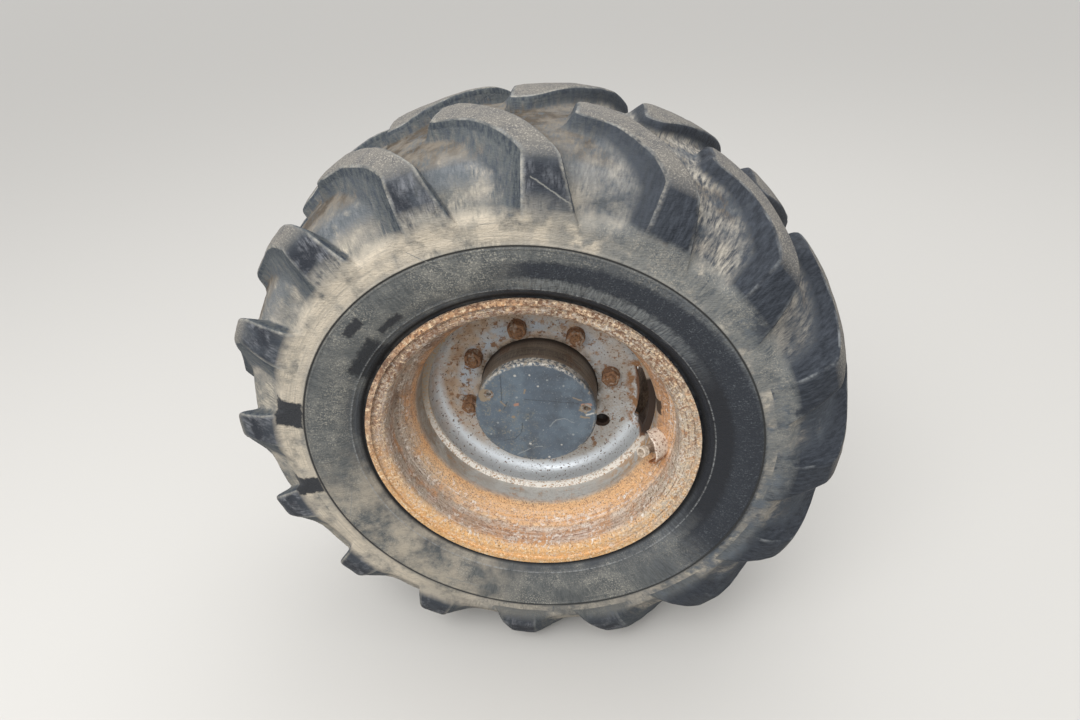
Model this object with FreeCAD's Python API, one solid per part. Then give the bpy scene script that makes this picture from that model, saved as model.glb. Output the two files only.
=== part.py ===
"""Driven wheel of a site dumper: lugged tyre, rolled rim, dished disc, planetary hub and stub axle.

Millimetres, Z up. The wheel turns about the Y axis and its outer side faces -Y.
The origin is the middle of the face that bolts the stub axle to the axle beam.
"""
import FreeCAD, Part
import math
import os

from FreeCAD import Vector

AXIS = Vector(0, 1, 0)
CENTRE = Vector(0, 0, 0)

# Fits
SEAT_GAP = 0.2           # rubber on steel, spigot in its recess
RUNNING_GAP = 0.05       # journal in hub, radial
THREAD_GAP = 0.05        # nut on stud, stud in its hole
SEAL_GAP = 0.3           # seal lip to axle

# Where the wheel sits along the axle
HUB_REACH = 164.0        # mounting face to the face that the disc seats on
RIM_INSET = 7.5          # middle of the rim, outboard of that seat

# Tyre, 405/70-20
TYRE_DIAMETER = 1075.0
TYRE_WIDTH = 405.0
LUG_HEIGHT = 33.5        # at the middle of the tread
LUG_DRAFT = 8.0          # degrees
LUGS_PER_SIDE = 16
LUG_PHASE = 17.4         # degrees, shoulder of the first outboard lug
TREAD_WALL = 26.0
LUG_PAST_MIDDLE = 6.0    # outboard lugs cross the tyre's middle
LUG_ROOT = 14.0          # lug sunk into the carcass it is moulded with
FLATS_PER_LUG = 3        # flat sides of the moulding round each lug's pitch
BEAD_TOE = 37.6          # length of the bead on its seat
LIP_COVER = 11.4         # rubber beyond the flange, where it passes over the lip

# Rim, 13 x 20 drop centre
BEAD_SEAT_DIAMETER = 514.4
BEAD_WIDTH = 330.2       # between the flanges
FLANGE_HEIGHT = 24.8     # over the bead seat
FLANGE_BEND = 10.9
SEAT_BEND = 6.0
LIP_REACH = 15.4         # lip beyond the flange
RIM_PLATE = 9.0
SEAT_WIDTH = 47.0
SEAT_RISE = 3.5          # taper of the bead seat
WELL_DEPTH = 33.2        # bead seat down to the well
HUMP_BEND = 12.0
WELL_BEND = 16.0

# Disc
DISC_PLATE = 12.0
DISC_BORE_GAP = 1.5      # round the hub nose
DISC_BEND = 32.0
DISC_DEPTH = 43.0        # face to the edge of its flange
WINDOW_REACH = 28.0      # in from the rim
WINDOW_RIM = 12.0        # strip left along the flange edge
WINDOW_START = -18.0     # degrees
WINDOW_SWEEP = 34.0

# Studs and nuts
STUD_CIRCLE = 275.0
STUD_PLACES = 8
STUD_COUNT = 7           # the last place has lost its stud and nut
STUD_PHASE = 13.6        # degrees
STUD_DIAMETER = 20.0
STUD_HOLE_GAP = 1.5      # round a stud in the disc
STUD_END = 4.0           # beyond the nut
STUD_BEVEL = 2.0
STUD_HEAD_LEDGE = 4.0    # head beyond the shank
STUD_HEAD_HEIGHT = 6.0
NUT_WALL = 5.0           # stud to the middle of a flat
NUT_HEIGHT = 20.0
NUT_FACE_HEIGHT = 3.0
NUT_FACE_LEDGE = 1.5     # round face beyond the flats
NUT_BEVEL = 3.5

# Hub
NOSE_DIAMETER = 218.0
NOSE_REACH = 82.0        # disc face to the end of the cover
NOSE_WALL = 33.0
COVER_THICKNESS = 18.0
COVER_BEVEL = 2.5
COVER_SPIGOT = 6.0
HUB_MARGIN = 24.5        # stud circle to the flange's edge
HUB_FLANGE = 20.0
BARREL_LENGTH = 92.0
BARREL_WALL = 16.0       # round the seal
BARREL_TAPER = 14.0
BARREL_FILLET = 8.0
CASTING_BEVEL = 3.0
GREASE_ROOM = 11.0       # round the axle's neck
SCREW_INSET = 17.0       # from the cover's edge
SCREW_ANGLES = {"left": 151.9, "right": 9.0}
SCREW_HEAD = 18.0
SCREW_HEAD_DEPTH = 9.0
SCREW_SHANK = 10.0
SCREW_LENGTH = 34.0
SOCKET_ACROSS = 8.0
SOCKET_DEPTH = 6.0

# Stub axle
OUTER_JOURNAL = 84.0     # diameter
OUTER_LAND = 26.0        # length
LAND_INSET = 2.0         # outer land, inboard of the disc's seat
INNER_JOURNAL = 110.0
INNER_LAND = 28.0
NECK_RELIEF = 7.0        # under the inner journal
SHOULDER_STEP = 11.0     # over the inner journal
SEAL_SECTION = 12.0
SEAL_WIDTH = 14.0
AXLE_FLANGE = 22.0
AXLE_FILLET = 8.0
AXLE_BEVEL = 3.0
AXLE_TIP = 14.0          # outboard of the disc's seat
AXLE_BORE = 54.0
SPIGOT_DIAMETER = 150.0
SPIGOT_LENGTH = 8.0
AXLE_BOLTS = 10
AXLE_BOLT_CIRCLE = 204.0
AXLE_BOLT_HOLE = 17.5
AXLE_MARGIN = 18.0       # bolt circle to the flange's edge
END_GAP = 6.0            # axial room between hub and axle steps

# Valve and its guard
VALVE_ANGLE = -15.3      # degrees
VALVE_RISE = 7.0         # up the rim's slope, over the well
VALVE_STEM = 16.0
VALVE_CAP_WALL = 2.0
VALVE_CAP_LENGTH = 14.0
VALVE_CAP_BEVEL = 1.5
VALVE_LENGTH = 28.0
VALVE_TAIL = 4.0         # stem inside the tyre
VALVE_NUT_WALL = 5.0
VALVE_NUT_HEIGHT = 6.0
VALVE_NUT_GAP = 0.3      # under the flat nut on the round slope
GUARD_ROOM = 9.0         # between the cap and the guard
GUARD_PLATE = 4.0
GUARD_LENGTH = 30.0
GUARD_SWEEP = 200.0      # degrees

# Places along Y and radii that follow from the sizes above
SEAT_Y = -HUB_REACH
RIM_Y = SEAT_Y - RIM_INSET
DISC_FACE_Y = SEAT_Y - DISC_PLATE
BEAD_SEAT = BEAD_SEAT_DIAMETER / 2
RIM_RADIUS = BEAD_SEAT + FLANGE_HEIGHT
WELL_RADIUS = BEAD_SEAT - WELL_DEPTH
WELL_INSIDE = WELL_RADIUS - RIM_PLATE
NOSE_RADIUS = NOSE_DIAMETER / 2
CAVITY_RADIUS = NOSE_RADIUS - NOSE_WALL
SCREW_RADIUS = NOSE_RADIUS - SCREW_INSET
COVER_Y = DISC_FACE_Y - NOSE_REACH
NOSE_END_Y = COVER_Y + COVER_THICKNESS
HUB_END_Y = SEAT_Y + HUB_FLANGE + BARREL_LENGTH
SEAL_Y = HUB_END_Y - SEAL_WIDTH
SHOULDER_RADIUS = INNER_JOURNAL / 2 + SHOULDER_STEP
SEAL_RADIUS = SHOULDER_RADIUS + SEAL_SECTION
LUG_PITCH = 360.0 / LUGS_PER_SIDE
TYRE_SIDES = LUGS_PER_SIDE * FLATS_PER_LUG


def turned(shape, degrees):
    """Turn about the wheel axis, from +X towards +Z."""
    return shape.rotated(CENTRE, -AXIS, degrees)


def offset_corners(points, distance, closed):
    """Shift each side of a path to its right by distance, with mitred corners."""
    count = len(points)
    normals = []
    for i in range(count if closed else count - 1):
        (x0, y0), (x1, y1) = points[i], points[(i + 1) % count]
        length = math.hypot(x1 - x0, y1 - y0)
        normals.append(((y1 - y0) / length, (x0 - x1) / length))
    moved = []
    for i, (x, y) in enumerate(points):
        after = normals[i] if closed or i < count - 1 else normals[-1]
        before = normals[i - 1] if closed or i > 0 else normals[0]
        scale = distance / (1 + before[0] * after[0] + before[1] * after[1])
        moved.append((x + (before[0] + after[0]) * scale, y + (before[1] + after[1]) * scale))
    return moved


def section(corners):
    """Closed wire in the XY plane through corners (y, radius, rounding)."""
    ends = []
    count = len(corners)
    for i, (y, radius, rounding) in enumerate(corners):
        here = Vector(radius, y, 0)
        before = Vector(corners[i - 1][1], corners[i - 1][0], 0) - here
        after = Vector(corners[(i + 1) % count][1], corners[(i + 1) % count][0], 0) - here
        if rounding <= 0:
            ends.append((here, None, here))
            continue
        half = before.getAngle(after) / 2
        before.normalize()
        after.normalize()
        inward = (before + after).normalize()
        tangent = rounding / math.tan(half)
        middle = here + inward * (rounding / math.sin(half) - rounding)
        ends.append((here + before * tangent, middle, here + after * tangent))
    edges = []
    for i, (start, middle, end) in enumerate(ends):
        if middle is not None:
            edges.append(Part.Arc(start, middle, end).toShape())
        following = ends[(i + 1) % count][0]
        if end.distanceToPoint(following) > 1e-6:
            edges.append(Part.LineSegment(end, following).toShape())
    return Part.Wire(edges)


def ring(corners, sweep=360.0):
    """Solid turned about Y from +X towards +Z, from corners (y, radius) or (y, radius, rounding)."""
    rounded = [(corner + (0,))[:3] for corner in corners]
    return Part.Face(section(rounded)).revolve(CENTRE, -AXIS, sweep)


def solid_of(faces):
    """Solid bounded by flat faces."""
    solid = Part.Solid(Part.Shell(faces))
    if solid.Volume < 0:
        solid.reverse()
    return solid


def flat_sided_ring(corners, sides):
    """Ring like a turned one, with flat sides between its corner planes, from corners (y, radius)."""
    turns = [2 * math.pi * k / sides for k in range(sides)]
    stations = [[Vector(r * math.cos(t), y, r * math.sin(t)) for y, r in corners] for t in turns]
    faces = []
    for k, here in enumerate(stations):
        there = stations[(k + 1) % sides]
        for i in range(len(corners)):
            j = (i + 1) % len(corners)
            faces.append(Part.Face(Part.makePolygon([here[i], here[j], there[j], there[i], here[i]])))
    return solid_of(faces)


def plate_ring(path, thickness):
    """Ring of bent plate: path rows are (y, radius, bend), and the plate lies to its right."""
    other = offset_corners([(y, radius) for y, radius, _ in path], thickness, closed=False)
    far = []
    for i, (y, radius) in enumerate(other):
        bend = path[i][2]
        if 0 < i < len(path) - 1:
            (y0, r0), (y1, r1), (y2, r2) = path[i - 1][:2], path[i][:2], path[i + 1][:2]
            turn_right = (y1 - y0) * (r2 - r1) - (r1 - r0) * (y2 - y1) < 0
            bend = max(bend - thickness, 1.0) if turn_right else bend + thickness
        far.append((y, radius, bend))
    return ring(list(path) + far[::-1])


def rod(diameter, length, start_y):
    """Cylinder along Y on the axis of the wheel."""
    return Part.makeCylinder(diameter / 2, length, Vector(0, start_y, 0), AXIS)


def hexagon(across, height, start_y):
    """Hexagonal bar along Y on the axis of the wheel."""
    corner = across / math.sqrt(3)
    turns = [math.radians(60 * k) for k in range(7)]
    outline = [Vector(corner * math.cos(t), start_y, corner * math.sin(t)) for t in turns]
    return Part.Face(Part.makePolygon(outline)).extrude(AXIS * height)


def around(shape, radius, angles):
    """Copies of a shape from the wheel axis, each moved out by radius and turned by its angle."""
    moved = shape.translated(Vector(radius, 0, 0))
    return [turned(moved, angle) for angle in angles]


def rim_path():
    """Tyre side of the rim from the outboard lip to the inboard one, rows (y, radius, bend)."""
    flange = BEAD_WIDTH / 2
    seat_inner = flange - SEAT_WIDTH
    hump = BEAD_SEAT - SEAT_RISE
    well_side = seat_inner - (hump - WELL_RADIUS)
    half = [
        # from the middle, radius, bend
        (flange + LIP_REACH, RIM_RADIUS, 0.0),
        (flange, RIM_RADIUS, FLANGE_BEND),
        (flange, BEAD_SEAT, SEAT_BEND),
        (seat_inner, hump, HUMP_BEND),
        (well_side, WELL_RADIUS, WELL_BEND),
    ]
    outboard = [(RIM_Y - away, radius, bend) for away, radius, bend in half]
    inboard = [(RIM_Y + away, radius, bend) for away, radius, bend in half[::-1]]
    return outboard + inboard


def rim_air_path():
    """Inner side of the rim, rows (y, radius), corners as in rim_path."""
    return offset_corners([(y, radius) for y, radius, _ in rim_path()], RIM_PLATE, closed=False)


def rim_barrel():
    return plate_ring(rim_path(), RIM_PLATE).cut(valve_hole())


def tyre_half_outline():
    """Carcass outside from the tread's middle to the bead, and its cavity, rows (from middle, radius)."""
    crown = TYRE_DIAMETER / 2 - LUG_HEIGHT
    widest = TYRE_WIDTH / 2
    flange_face = BEAD_WIDTH / 2 - SEAT_GAP
    seat = (BEAD_SEAT + SEAT_GAP) / math.cos(math.pi / TYRE_SIDES)
    bead_bevel = SEAT_BEND + SEAT_GAP
    heel = flange_face - bead_bevel
    toe = flange_face - BEAD_TOE
    outside = [
        (0, crown),
        (widest - 78, crown - 12),
        (widest - 43, crown - 31),
        (widest - 22, crown - 60),
        (widest, crown - 104),
        (widest - 9, RIM_RADIUS + 44),
        (BEAD_WIDTH / 2 + LIP_COVER, RIM_RADIUS + 8),
        (flange_face, RIM_RADIUS - 6),
        (flange_face, seat + bead_bevel),
        (heel, seat),
        (toe, seat - SEAT_RISE * BEAD_TOE / SEAT_WIDTH),
    ]
    cavity = [
        (widest - 27, RIM_RADIUS + 66),
        (widest - 64, crown - TREAD_WALL - 20),
        (0, crown - TREAD_WALL),
    ]
    return outside, cavity


def carcass():
    outside, cavity = tyre_half_outline()
    over = [(-away, radius) for away, radius in outside[::-1]] + outside[1:]
    back = cavity + [(-away, radius) for away, radius in cavity[-2::-1]]
    return flat_sided_ring([(RIM_Y + across, radius) for across, radius in over + back], TYRE_SIDES)


def lug_envelope():
    """Ring that holds every point of the outboard lugs, from past the middle down to the sidewall."""
    crown = TYRE_DIAMETER / 2
    widest = TYRE_WIDTH / 2
    root = crown - LUG_HEIGHT - LUG_ROOT
    rows = [
        # from the middle, radius
        (-LUG_PAST_MIDDLE, crown),
        (80, crown - 4),
        (136, crown - 15),
        (widest - 28, crown - 35),
        (widest - 12, crown - 64),
        (widest, crown - 108),
        (widest, crown - 134),
        (widest - 24, crown - 134),
        (widest - 60, root - 28),
        (0, root),
        (-LUG_PAST_MIDDLE, root),
    ]
    return flat_sided_ring([(RIM_Y - away, radius) for away, radius in rows], TYRE_SIDES)


def lug_bar():
    """Drafted bar that gives one outboard lug its plan, with the lug's shoulder at 0 degrees."""
    past_wall = TYRE_WIDTH / 2 + 11.5
    plan = [
        # along the tread from the shoulder, from the middle of the tyre
        (177, 84), (120, 98), (64, 143), (32, 176), (26, past_wall), (-26, past_wall),
        (-22, 178), (36, 104), (140, 4), (177, 4),
    ]
    centre = (min(plan)[0] + max(plan)[0]) / 2
    reference = TYRE_DIAMETER / 2 - 4
    slope = math.tan(math.radians(LUG_DRAFT))
    rings = []
    for height in (reference - 140, reference + 20):
        grown = offset_corners(plan, (reference - height) * slope, closed=True)
        rings.append([Vector(height, RIM_Y - away, along - centre) for along, away in grown])
    low, high = rings
    faces = [Part.Face(Part.makePolygon(low + low[:1])), Part.Face(Part.makePolygon(high + high[:1]))]
    for i in range(len(plan)):
        j = (i + 1) % len(plan)
        faces.append(Part.Face(Part.makePolygon([low[i], low[j], high[j], high[i], low[i]])))
    return turned(solid_of(faces), math.degrees(centre / reference))


def tyre():
    lug = lug_envelope().common(turned(lug_bar(), LUG_PHASE))
    mirrored = lug.mirror(Vector(0, RIM_Y, 0), AXIS)
    lugs = []
    for k in range(LUGS_PER_SIDE):
        lugs.append(turned(lug, k * LUG_PITCH))
        lugs.append(turned(mirrored, (k + 0.5) * LUG_PITCH))
    return carcass().fuse(lugs)


def stud_angles():
    """Angles of all the places on the stud circle."""
    return [STUD_PHASE + 360.0 * k / STUD_PLACES for k in range(STUD_PLACES)]


def wheel_disc():
    edge_y = DISC_FACE_Y - DISC_DEPTH
    path = [
        # y, radius, bend
        (edge_y, WELL_INSIDE - DISC_PLATE, 0.0),
        (DISC_FACE_Y, WELL_INSIDE - DISC_PLATE, DISC_BEND),
        (DISC_FACE_Y, NOSE_RADIUS + DISC_BORE_GAP, 0.0),
    ]
    disc = plate_ring(path, -DISC_PLATE)
    hole = rod(STUD_DIAMETER + 2 * STUD_HOLE_GAP, DISC_PLATE * 3, DISC_FACE_Y - DISC_PLATE)
    past_disc = SEAT_Y + DISC_PLATE
    past_rim = WELL_INSIDE + RIM_PLATE / 2
    inner = WELL_INSIDE - WINDOW_REACH
    window = ring([
        (edge_y + WINDOW_RIM, inner), (edge_y + WINDOW_RIM, past_rim),
        (past_disc, past_rim), (past_disc, inner),
    ], WINDOW_SWEEP)
    return disc.cut(around(hole, STUD_CIRCLE / 2, stud_angles()) + [turned(window, WINDOW_START)])


def wheel_stud():
    """Stud on the wheel axis, its head against the back of the hub flange."""
    tip = DISC_FACE_Y - NUT_HEIGHT - STUD_END
    back = SEAT_Y + HUB_FLANGE
    radius = STUD_DIAMETER / 2
    head = radius + STUD_HEAD_LEDGE
    end = back + STUD_HEAD_HEIGHT
    return ring([
        (tip, 0), (tip, radius - STUD_BEVEL), (tip + STUD_BEVEL, radius), (back, radius), (back, head),
        (end - STUD_BEVEL, head), (end, head - STUD_BEVEL), (end, 0),
    ])


def wheel_nut():
    """Hexagonal nut with a round bearing face, on the wheel axis against the disc."""
    end = DISC_FACE_Y - NUT_HEIGHT
    bore = STUD_DIAMETER / 2 + THREAD_GAP
    flat = STUD_DIAMETER / 2 + NUT_WALL
    blank = 2 * flat / math.sqrt(3)
    bevelled = ring([
        (end, bore), (end, blank - NUT_BEVEL), (end + NUT_BEVEL * math.tan(math.radians(30)), blank),
        (DISC_FACE_Y, blank), (DISC_FACE_Y, bore),
    ])
    bar = hexagon(2 * flat, NUT_HEIGHT - NUT_FACE_HEIGHT, end)
    face = rod(2 * (flat + NUT_FACE_LEDGE), NUT_FACE_HEIGHT, DISC_FACE_Y - NUT_FACE_HEIGHT)
    return bevelled.common(bar.fuse(face))


def hub():
    flange = STUD_CIRCLE / 2 + HUB_MARGIN
    flange_end = SEAT_Y + HUB_FLANGE
    barrel_end = SEAL_RADIUS + BARREL_WALL
    inner_land = INNER_JOURNAL / 2 + RUNNING_GAP
    outer_land = OUTER_JOURNAL / 2 + RUNNING_GAP
    grease = INNER_JOURNAL / 2 + GREASE_ROOM
    land_y = SEAT_Y + LAND_INSET
    body = ring([
        (NOSE_END_Y, CAVITY_RADIUS), (NOSE_END_Y, NOSE_RADIUS), (SEAT_Y, NOSE_RADIUS),
        (SEAT_Y, flange - CASTING_BEVEL), (SEAT_Y + CASTING_BEVEL, flange),
        (flange_end - CASTING_BEVEL, flange), (flange_end, flange - CASTING_BEVEL),
        (flange_end, barrel_end + BARREL_TAPER, BARREL_FILLET),
        (HUB_END_Y - CASTING_BEVEL, barrel_end), (HUB_END_Y, barrel_end - CASTING_BEVEL),
        (HUB_END_Y, SEAL_RADIUS), (SEAL_Y, SEAL_RADIUS),
        (SEAL_Y, inner_land), (SEAL_Y - INNER_LAND, inner_land), (SEAL_Y - INNER_LAND, grease),
        (land_y + OUTER_LAND, grease), (land_y + OUTER_LAND, outer_land),
        (land_y, outer_land), (land_y, CAVITY_RADIUS),
    ])
    stud_hole = rod(STUD_DIAMETER + 2 * THREAD_GAP, 2 * HUB_FLANGE, SEAT_Y - HUB_FLANGE / 2)
    screw_hole = rod(SCREW_SHANK + 2 * THREAD_GAP, SCREW_LENGTH, COVER_Y)
    holes = around(stud_hole, STUD_CIRCLE / 2, stud_angles())
    return body.cut(holes + around(screw_hole, SCREW_RADIUS, SCREW_ANGLES.values()))


def hub_seal():
    start = SEAL_Y + END_GAP
    inner = SHOULDER_RADIUS + SEAL_GAP
    return ring([(start, inner), (start, SEAL_RADIUS), (HUB_END_Y, SEAL_RADIUS), (HUB_END_Y, inner)])


def planet_cover():
    spigot = CAVITY_RADIUS - SEAT_GAP
    spigot_end = NOSE_END_Y + COVER_SPIGOT
    plate = ring([
        (COVER_Y, 0), (COVER_Y, NOSE_RADIUS - COVER_BEVEL), (COVER_Y + COVER_BEVEL, NOSE_RADIUS),
        (NOSE_END_Y, NOSE_RADIUS), (NOSE_END_Y, spigot), (spigot_end, spigot), (spigot_end, 0),
    ])
    return plate.cut(around(screw_blank(THREAD_GAP), SCREW_RADIUS, SCREW_ANGLES.values()))


def screw_blank(gap):
    """Socket screw on the wheel axis with its head flush in the cover, grown by gap."""
    head = SCREW_HEAD / 2 + gap
    shank = SCREW_SHANK / 2 + gap
    under = COVER_Y + SCREW_HEAD_DEPTH
    tip = COVER_Y + SCREW_LENGTH
    return ring([(COVER_Y, 0), (COVER_Y, head), (under, head), (under, shank), (tip, shank), (tip, 0)])


def cover_screw():
    return screw_blank(0).cut(hexagon(SOCKET_ACROSS, SOCKET_DEPTH, COVER_Y))


def stub_axle():
    bore = AXLE_BORE / 2
    outer = OUTER_JOURNAL / 2
    inner = INNER_JOURNAL / 2
    neck = inner - NECK_RELIEF
    flange = AXLE_BOLT_CIRCLE / 2 + AXLE_MARGIN
    tip = SEAT_Y - AXLE_TIP
    outer_end = SEAT_Y + LAND_INSET + OUTER_LAND + END_GAP
    inner_start = SEAL_Y - INNER_LAND - END_GAP / 2
    shoulder_y = SEAL_Y + END_GAP
    body = ring([
        (tip, bore), (tip, outer - AXLE_BEVEL), (tip + AXLE_BEVEL, outer), (outer_end, outer),
        (outer_end, neck), (inner_start, neck), (inner_start, inner), (shoulder_y, inner),
        (shoulder_y, SHOULDER_RADIUS), (-AXLE_FLANGE, SHOULDER_RADIUS, AXLE_FILLET),
        (-AXLE_FLANGE, flange - AXLE_BEVEL), (-AXLE_FLANGE + AXLE_BEVEL, flange), (0, flange),
        (0, SPIGOT_DIAMETER / 2), (SPIGOT_LENGTH, SPIGOT_DIAMETER / 2), (SPIGOT_LENGTH, bore),
    ])
    bolt_hole = rod(AXLE_BOLT_HOLE, 2 * AXLE_FLANGE, -AXLE_FLANGE * 1.5)
    turns = [360.0 * k / AXLE_BOLTS for k in range(AXLE_BOLTS)]
    return body.cut(around(bolt_hole, AXLE_BOLT_CIRCLE / 2, turns))


def valve_frame(shape):
    """Carry a shape drawn along +Z from the origin to the rim's slope at the valve."""
    lip, flange, seat, hump, well = rim_air_path()[:5]
    down_slope = Vector(hump[1] - well[1], hump[0] - well[0], 0)
    square_to_slope = Vector(down_slope.y, -down_slope.x, 0)
    share = VALVE_RISE / (hump[1] - well[1])
    place = Vector(well[1], well[0], 0) + down_slope * share
    moved = shape.copy()
    turn = FreeCAD.Rotation(Vector(0, 0, 1), square_to_slope)
    moved.Placement = FreeCAD.Placement(place, turn).multiply(moved.Placement)
    return turned(moved, VALVE_ANGLE)


def valve_rod(diameter, start, end):
    return Part.makeCylinder(diameter / 2, end - start, Vector(0, 0, start))


def valve_hole():
    return valve_frame(valve_rod(VALVE_STEM + 2 * THREAD_GAP, -3 * RIM_PLATE, 3 * RIM_PLATE))


def valve_stem():
    stem = valve_rod(VALVE_STEM, -RIM_PLATE - VALVE_TAIL, VALVE_LENGTH)
    nut = valve_rod(VALVE_STEM + 2 * VALVE_NUT_WALL, VALVE_NUT_GAP, VALVE_NUT_HEIGHT)
    return valve_frame(stem.fuse(nut))


def valve_cap():
    """Cap on the end of the stem."""
    end = VALVE_LENGTH + VALVE_CAP_LENGTH
    cap = valve_rod(VALVE_STEM + 2 * VALVE_CAP_WALL, VALVE_LENGTH, end)
    rim = max(cap.Edges, key=lambda edge: edge.CenterOfMass.z)
    return valve_frame(cap.makeChamfer(VALVE_CAP_BEVEL, [rim]))


def valve_guard():
    """Bent strip welded to the rim's slope round the outer side of the valve."""
    inner = VALVE_STEM / 2 + VALVE_CAP_WALL + GUARD_ROOM
    foot = Vector(0, 0, -GUARD_LENGTH)
    tube = Part.makeCylinder(inner + GUARD_PLATE, 2 * GUARD_LENGTH, foot, Vector(0, 0, 1), GUARD_SWEEP)
    tube = tube.cut(Part.makeCylinder(inner, 2 * GUARD_LENGTH, foot))
    tube.rotate(CENTRE, Vector(0, 0, 1), -GUARD_SWEEP / 2)
    lip, flange, seat, hump, well, far_well = rim_air_path()[:6]
    room = ring([(seat[0], NOSE_RADIUS), seat, hump, well, far_well, (far_well[0], NOSE_RADIUS)])
    return valve_frame(tube).common(room)


def save(name, shape):
    solid = shape.Solids[0] if len(shape.Solids) == 1 else shape
    solid.exportStep(f"parts/{name}.step")
    print(name, len(shape.Solids), "solid", round(shape.Volume / 1e6, 3), "litres", shape.isValid())


def main():
    os.makedirs("parts", exist_ok=True)
    save("tyre", tyre())
    save("rim_barrel", rim_barrel())
    save("wheel_disc", wheel_disc())
    save("hub", hub())
    save("hub_seal", hub_seal())
    save("planet_cover", planet_cover())
    save("stub_axle", stub_axle())
    save("valve_stem", valve_stem())
    save("valve_cap", valve_cap())
    save("valve_guard", valve_guard())
    for side, angle in SCREW_ANGLES.items():
        save(f"cover_screw_{side}", around(cover_screw(), SCREW_RADIUS, [angle])[0])
    for number, angle in enumerate(stud_angles()[:STUD_COUNT], start=1):
        save(f"wheel_stud_{number}", around(wheel_stud(), STUD_CIRCLE / 2, [angle])[0])
        save(f"wheel_nut_{number}", around(wheel_nut(), STUD_CIRCLE / 2, [angle])[0])


main()
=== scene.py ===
# %% [markdown]
# # A worn site dumper wheel
# The wheel's steel parts come from its CAD model: rim, disc, hub, studs, nuts and valve. They are
# turned and pressed parts whose shape CAD gives well, so they keep their meshes and get new
# finishes. The tyre is moulded rubber, rounded by wear and caked in dust, which flat CAD faces
# don't show, so it is built again here from a fine grid. Meshes are in metres, and the sizes
# written here are in mm. The wheel turns about the Y axis, its outer side faces -Y, and Z is up.

# %% Load the frame
import math
from types import SimpleNamespace

import bpy
import numpy as np
from mathutils import Matrix, Vector, noise


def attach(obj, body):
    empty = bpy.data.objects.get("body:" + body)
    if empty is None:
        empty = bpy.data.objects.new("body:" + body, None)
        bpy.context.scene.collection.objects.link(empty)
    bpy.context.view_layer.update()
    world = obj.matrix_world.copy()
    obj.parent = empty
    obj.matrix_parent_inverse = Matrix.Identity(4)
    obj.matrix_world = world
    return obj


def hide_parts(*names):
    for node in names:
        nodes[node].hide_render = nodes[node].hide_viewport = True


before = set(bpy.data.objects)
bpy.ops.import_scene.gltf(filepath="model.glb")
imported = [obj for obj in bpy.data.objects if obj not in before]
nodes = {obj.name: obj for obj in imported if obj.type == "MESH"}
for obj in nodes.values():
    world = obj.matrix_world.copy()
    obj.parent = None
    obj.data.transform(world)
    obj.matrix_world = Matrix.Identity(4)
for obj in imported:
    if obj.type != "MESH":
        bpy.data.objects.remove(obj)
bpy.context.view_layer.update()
print("CAD nodes:", len(nodes))

# %% [markdown]
# ## Sizes that the finishes share
# A stain or a wear band sits at a real place on the wheel, so its place is given by the same radii
# and depths as the CAD. Depth is measured from the plane of the rim's outer lip, inwards.

# %% Sizes
MM = 0.001
RIM_Y = -171.5           # middle of the rim and tyre
LIP_Y = -352.0           # outer lip of the rim
FLOOR_Z = -530.5         # under the lowest worn lug
LUGS = 16                # on each side of the tyre
PITCH = 2 * math.pi / LUGS

# %% [markdown]
# ## Camera
# The photograph was taken with a wide lens from above the wheel, close to it. A wide lens near the
# object makes its near side swell, so the distance matters as much as the angle. The camera's
# place and axes come from fitting the rim's outer circle, whose size is known.

# %% Camera
SENSOR = 36.0            # mm
FRAME_WIDTH = 1080       # pixels
FOCAL_LENGTH = 700       # pixels
STAND = (0.130, -1.249, 0.763)
right = Vector((0.995231, 0.081678, -0.053331))
down = Vector((0.0, -0.546718, -0.837317))
ahead = Vector((-0.097547, 0.833324, -0.544111))
axes = Matrix((right, -down, -ahead)).transposed()
camera_data = bpy.data.cameras.new("camera")
camera_data.lens = FOCAL_LENGTH / FRAME_WIDTH * SENSOR
camera_data.sensor_width = SENSOR
camera = bpy.data.objects.new("camera", camera_data)
camera.matrix_world = Matrix.Translation(STAND) @ axes.to_4x4()
bpy.context.scene.collection.objects.link(camera)
bpy.context.scene.camera = camera
print("lens", round(camera_data.lens, 2), "mm")

# %% [markdown]
# ## Helpers for nodes, colour and meshes
# A material is a tree of nodes. Writing each node as one call with its settings and its links
# keeps the order of the tree readable. Colours are written as sRGB hex, as they are seen, and
# turned to the linear values that light is reckoned in.

# %% Helpers
def linear(code):
    """Linear RGBA of an sRGB hex value."""
    parts = [int(code[i:i + 2], 16) / 255 for i in (1, 3, 5)]
    return [c / 12.92 if c <= 0.04045 else ((c + 0.055) / 1.055) ** 2.4 for c in parts] + [1.0]


def add(tree, kind, inputs=None, **settings):
    """Add a node; an input is a plain value or another node's output socket."""
    made = tree.nodes.new(kind)
    for name, value in settings.items():
        setattr(made, name, value)
    for key, value in (inputs or {}).items():
        if isinstance(value, bpy.types.NodeSocket):
            tree.links.new(value, made.inputs[key])
        else:
            made.inputs[key].default_value = value
    return made


def new_finish(name):
    """An empty material and its node tree."""
    material = bpy.data.materials.new(name)
    material.use_nodes = True
    material.node_tree.nodes.clear()
    return SimpleNamespace(name=name, material=material, tree=material.node_tree)


def new_object(name, points, faces):
    """A mesh object in the scene; points in metres."""
    mesh = bpy.data.meshes.new(name)
    mesh.from_pydata(points, [], faces)
    made = bpy.data.objects.new(name, mesh)
    bpy.context.scene.collection.objects.link(made)
    return made


print("white is", linear("#ffffff")[:3])

# %% [markdown]
# ## Where a point lies on the wheel
# Wear on a wheel follows its radius and depth far more than its height, so each finish first works
# out the point's radius from the axle, its depth from the rim's lip, and the unit direction from
# the axle. They come from the object's own coordinates, so the stains turn with the wheel.

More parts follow.
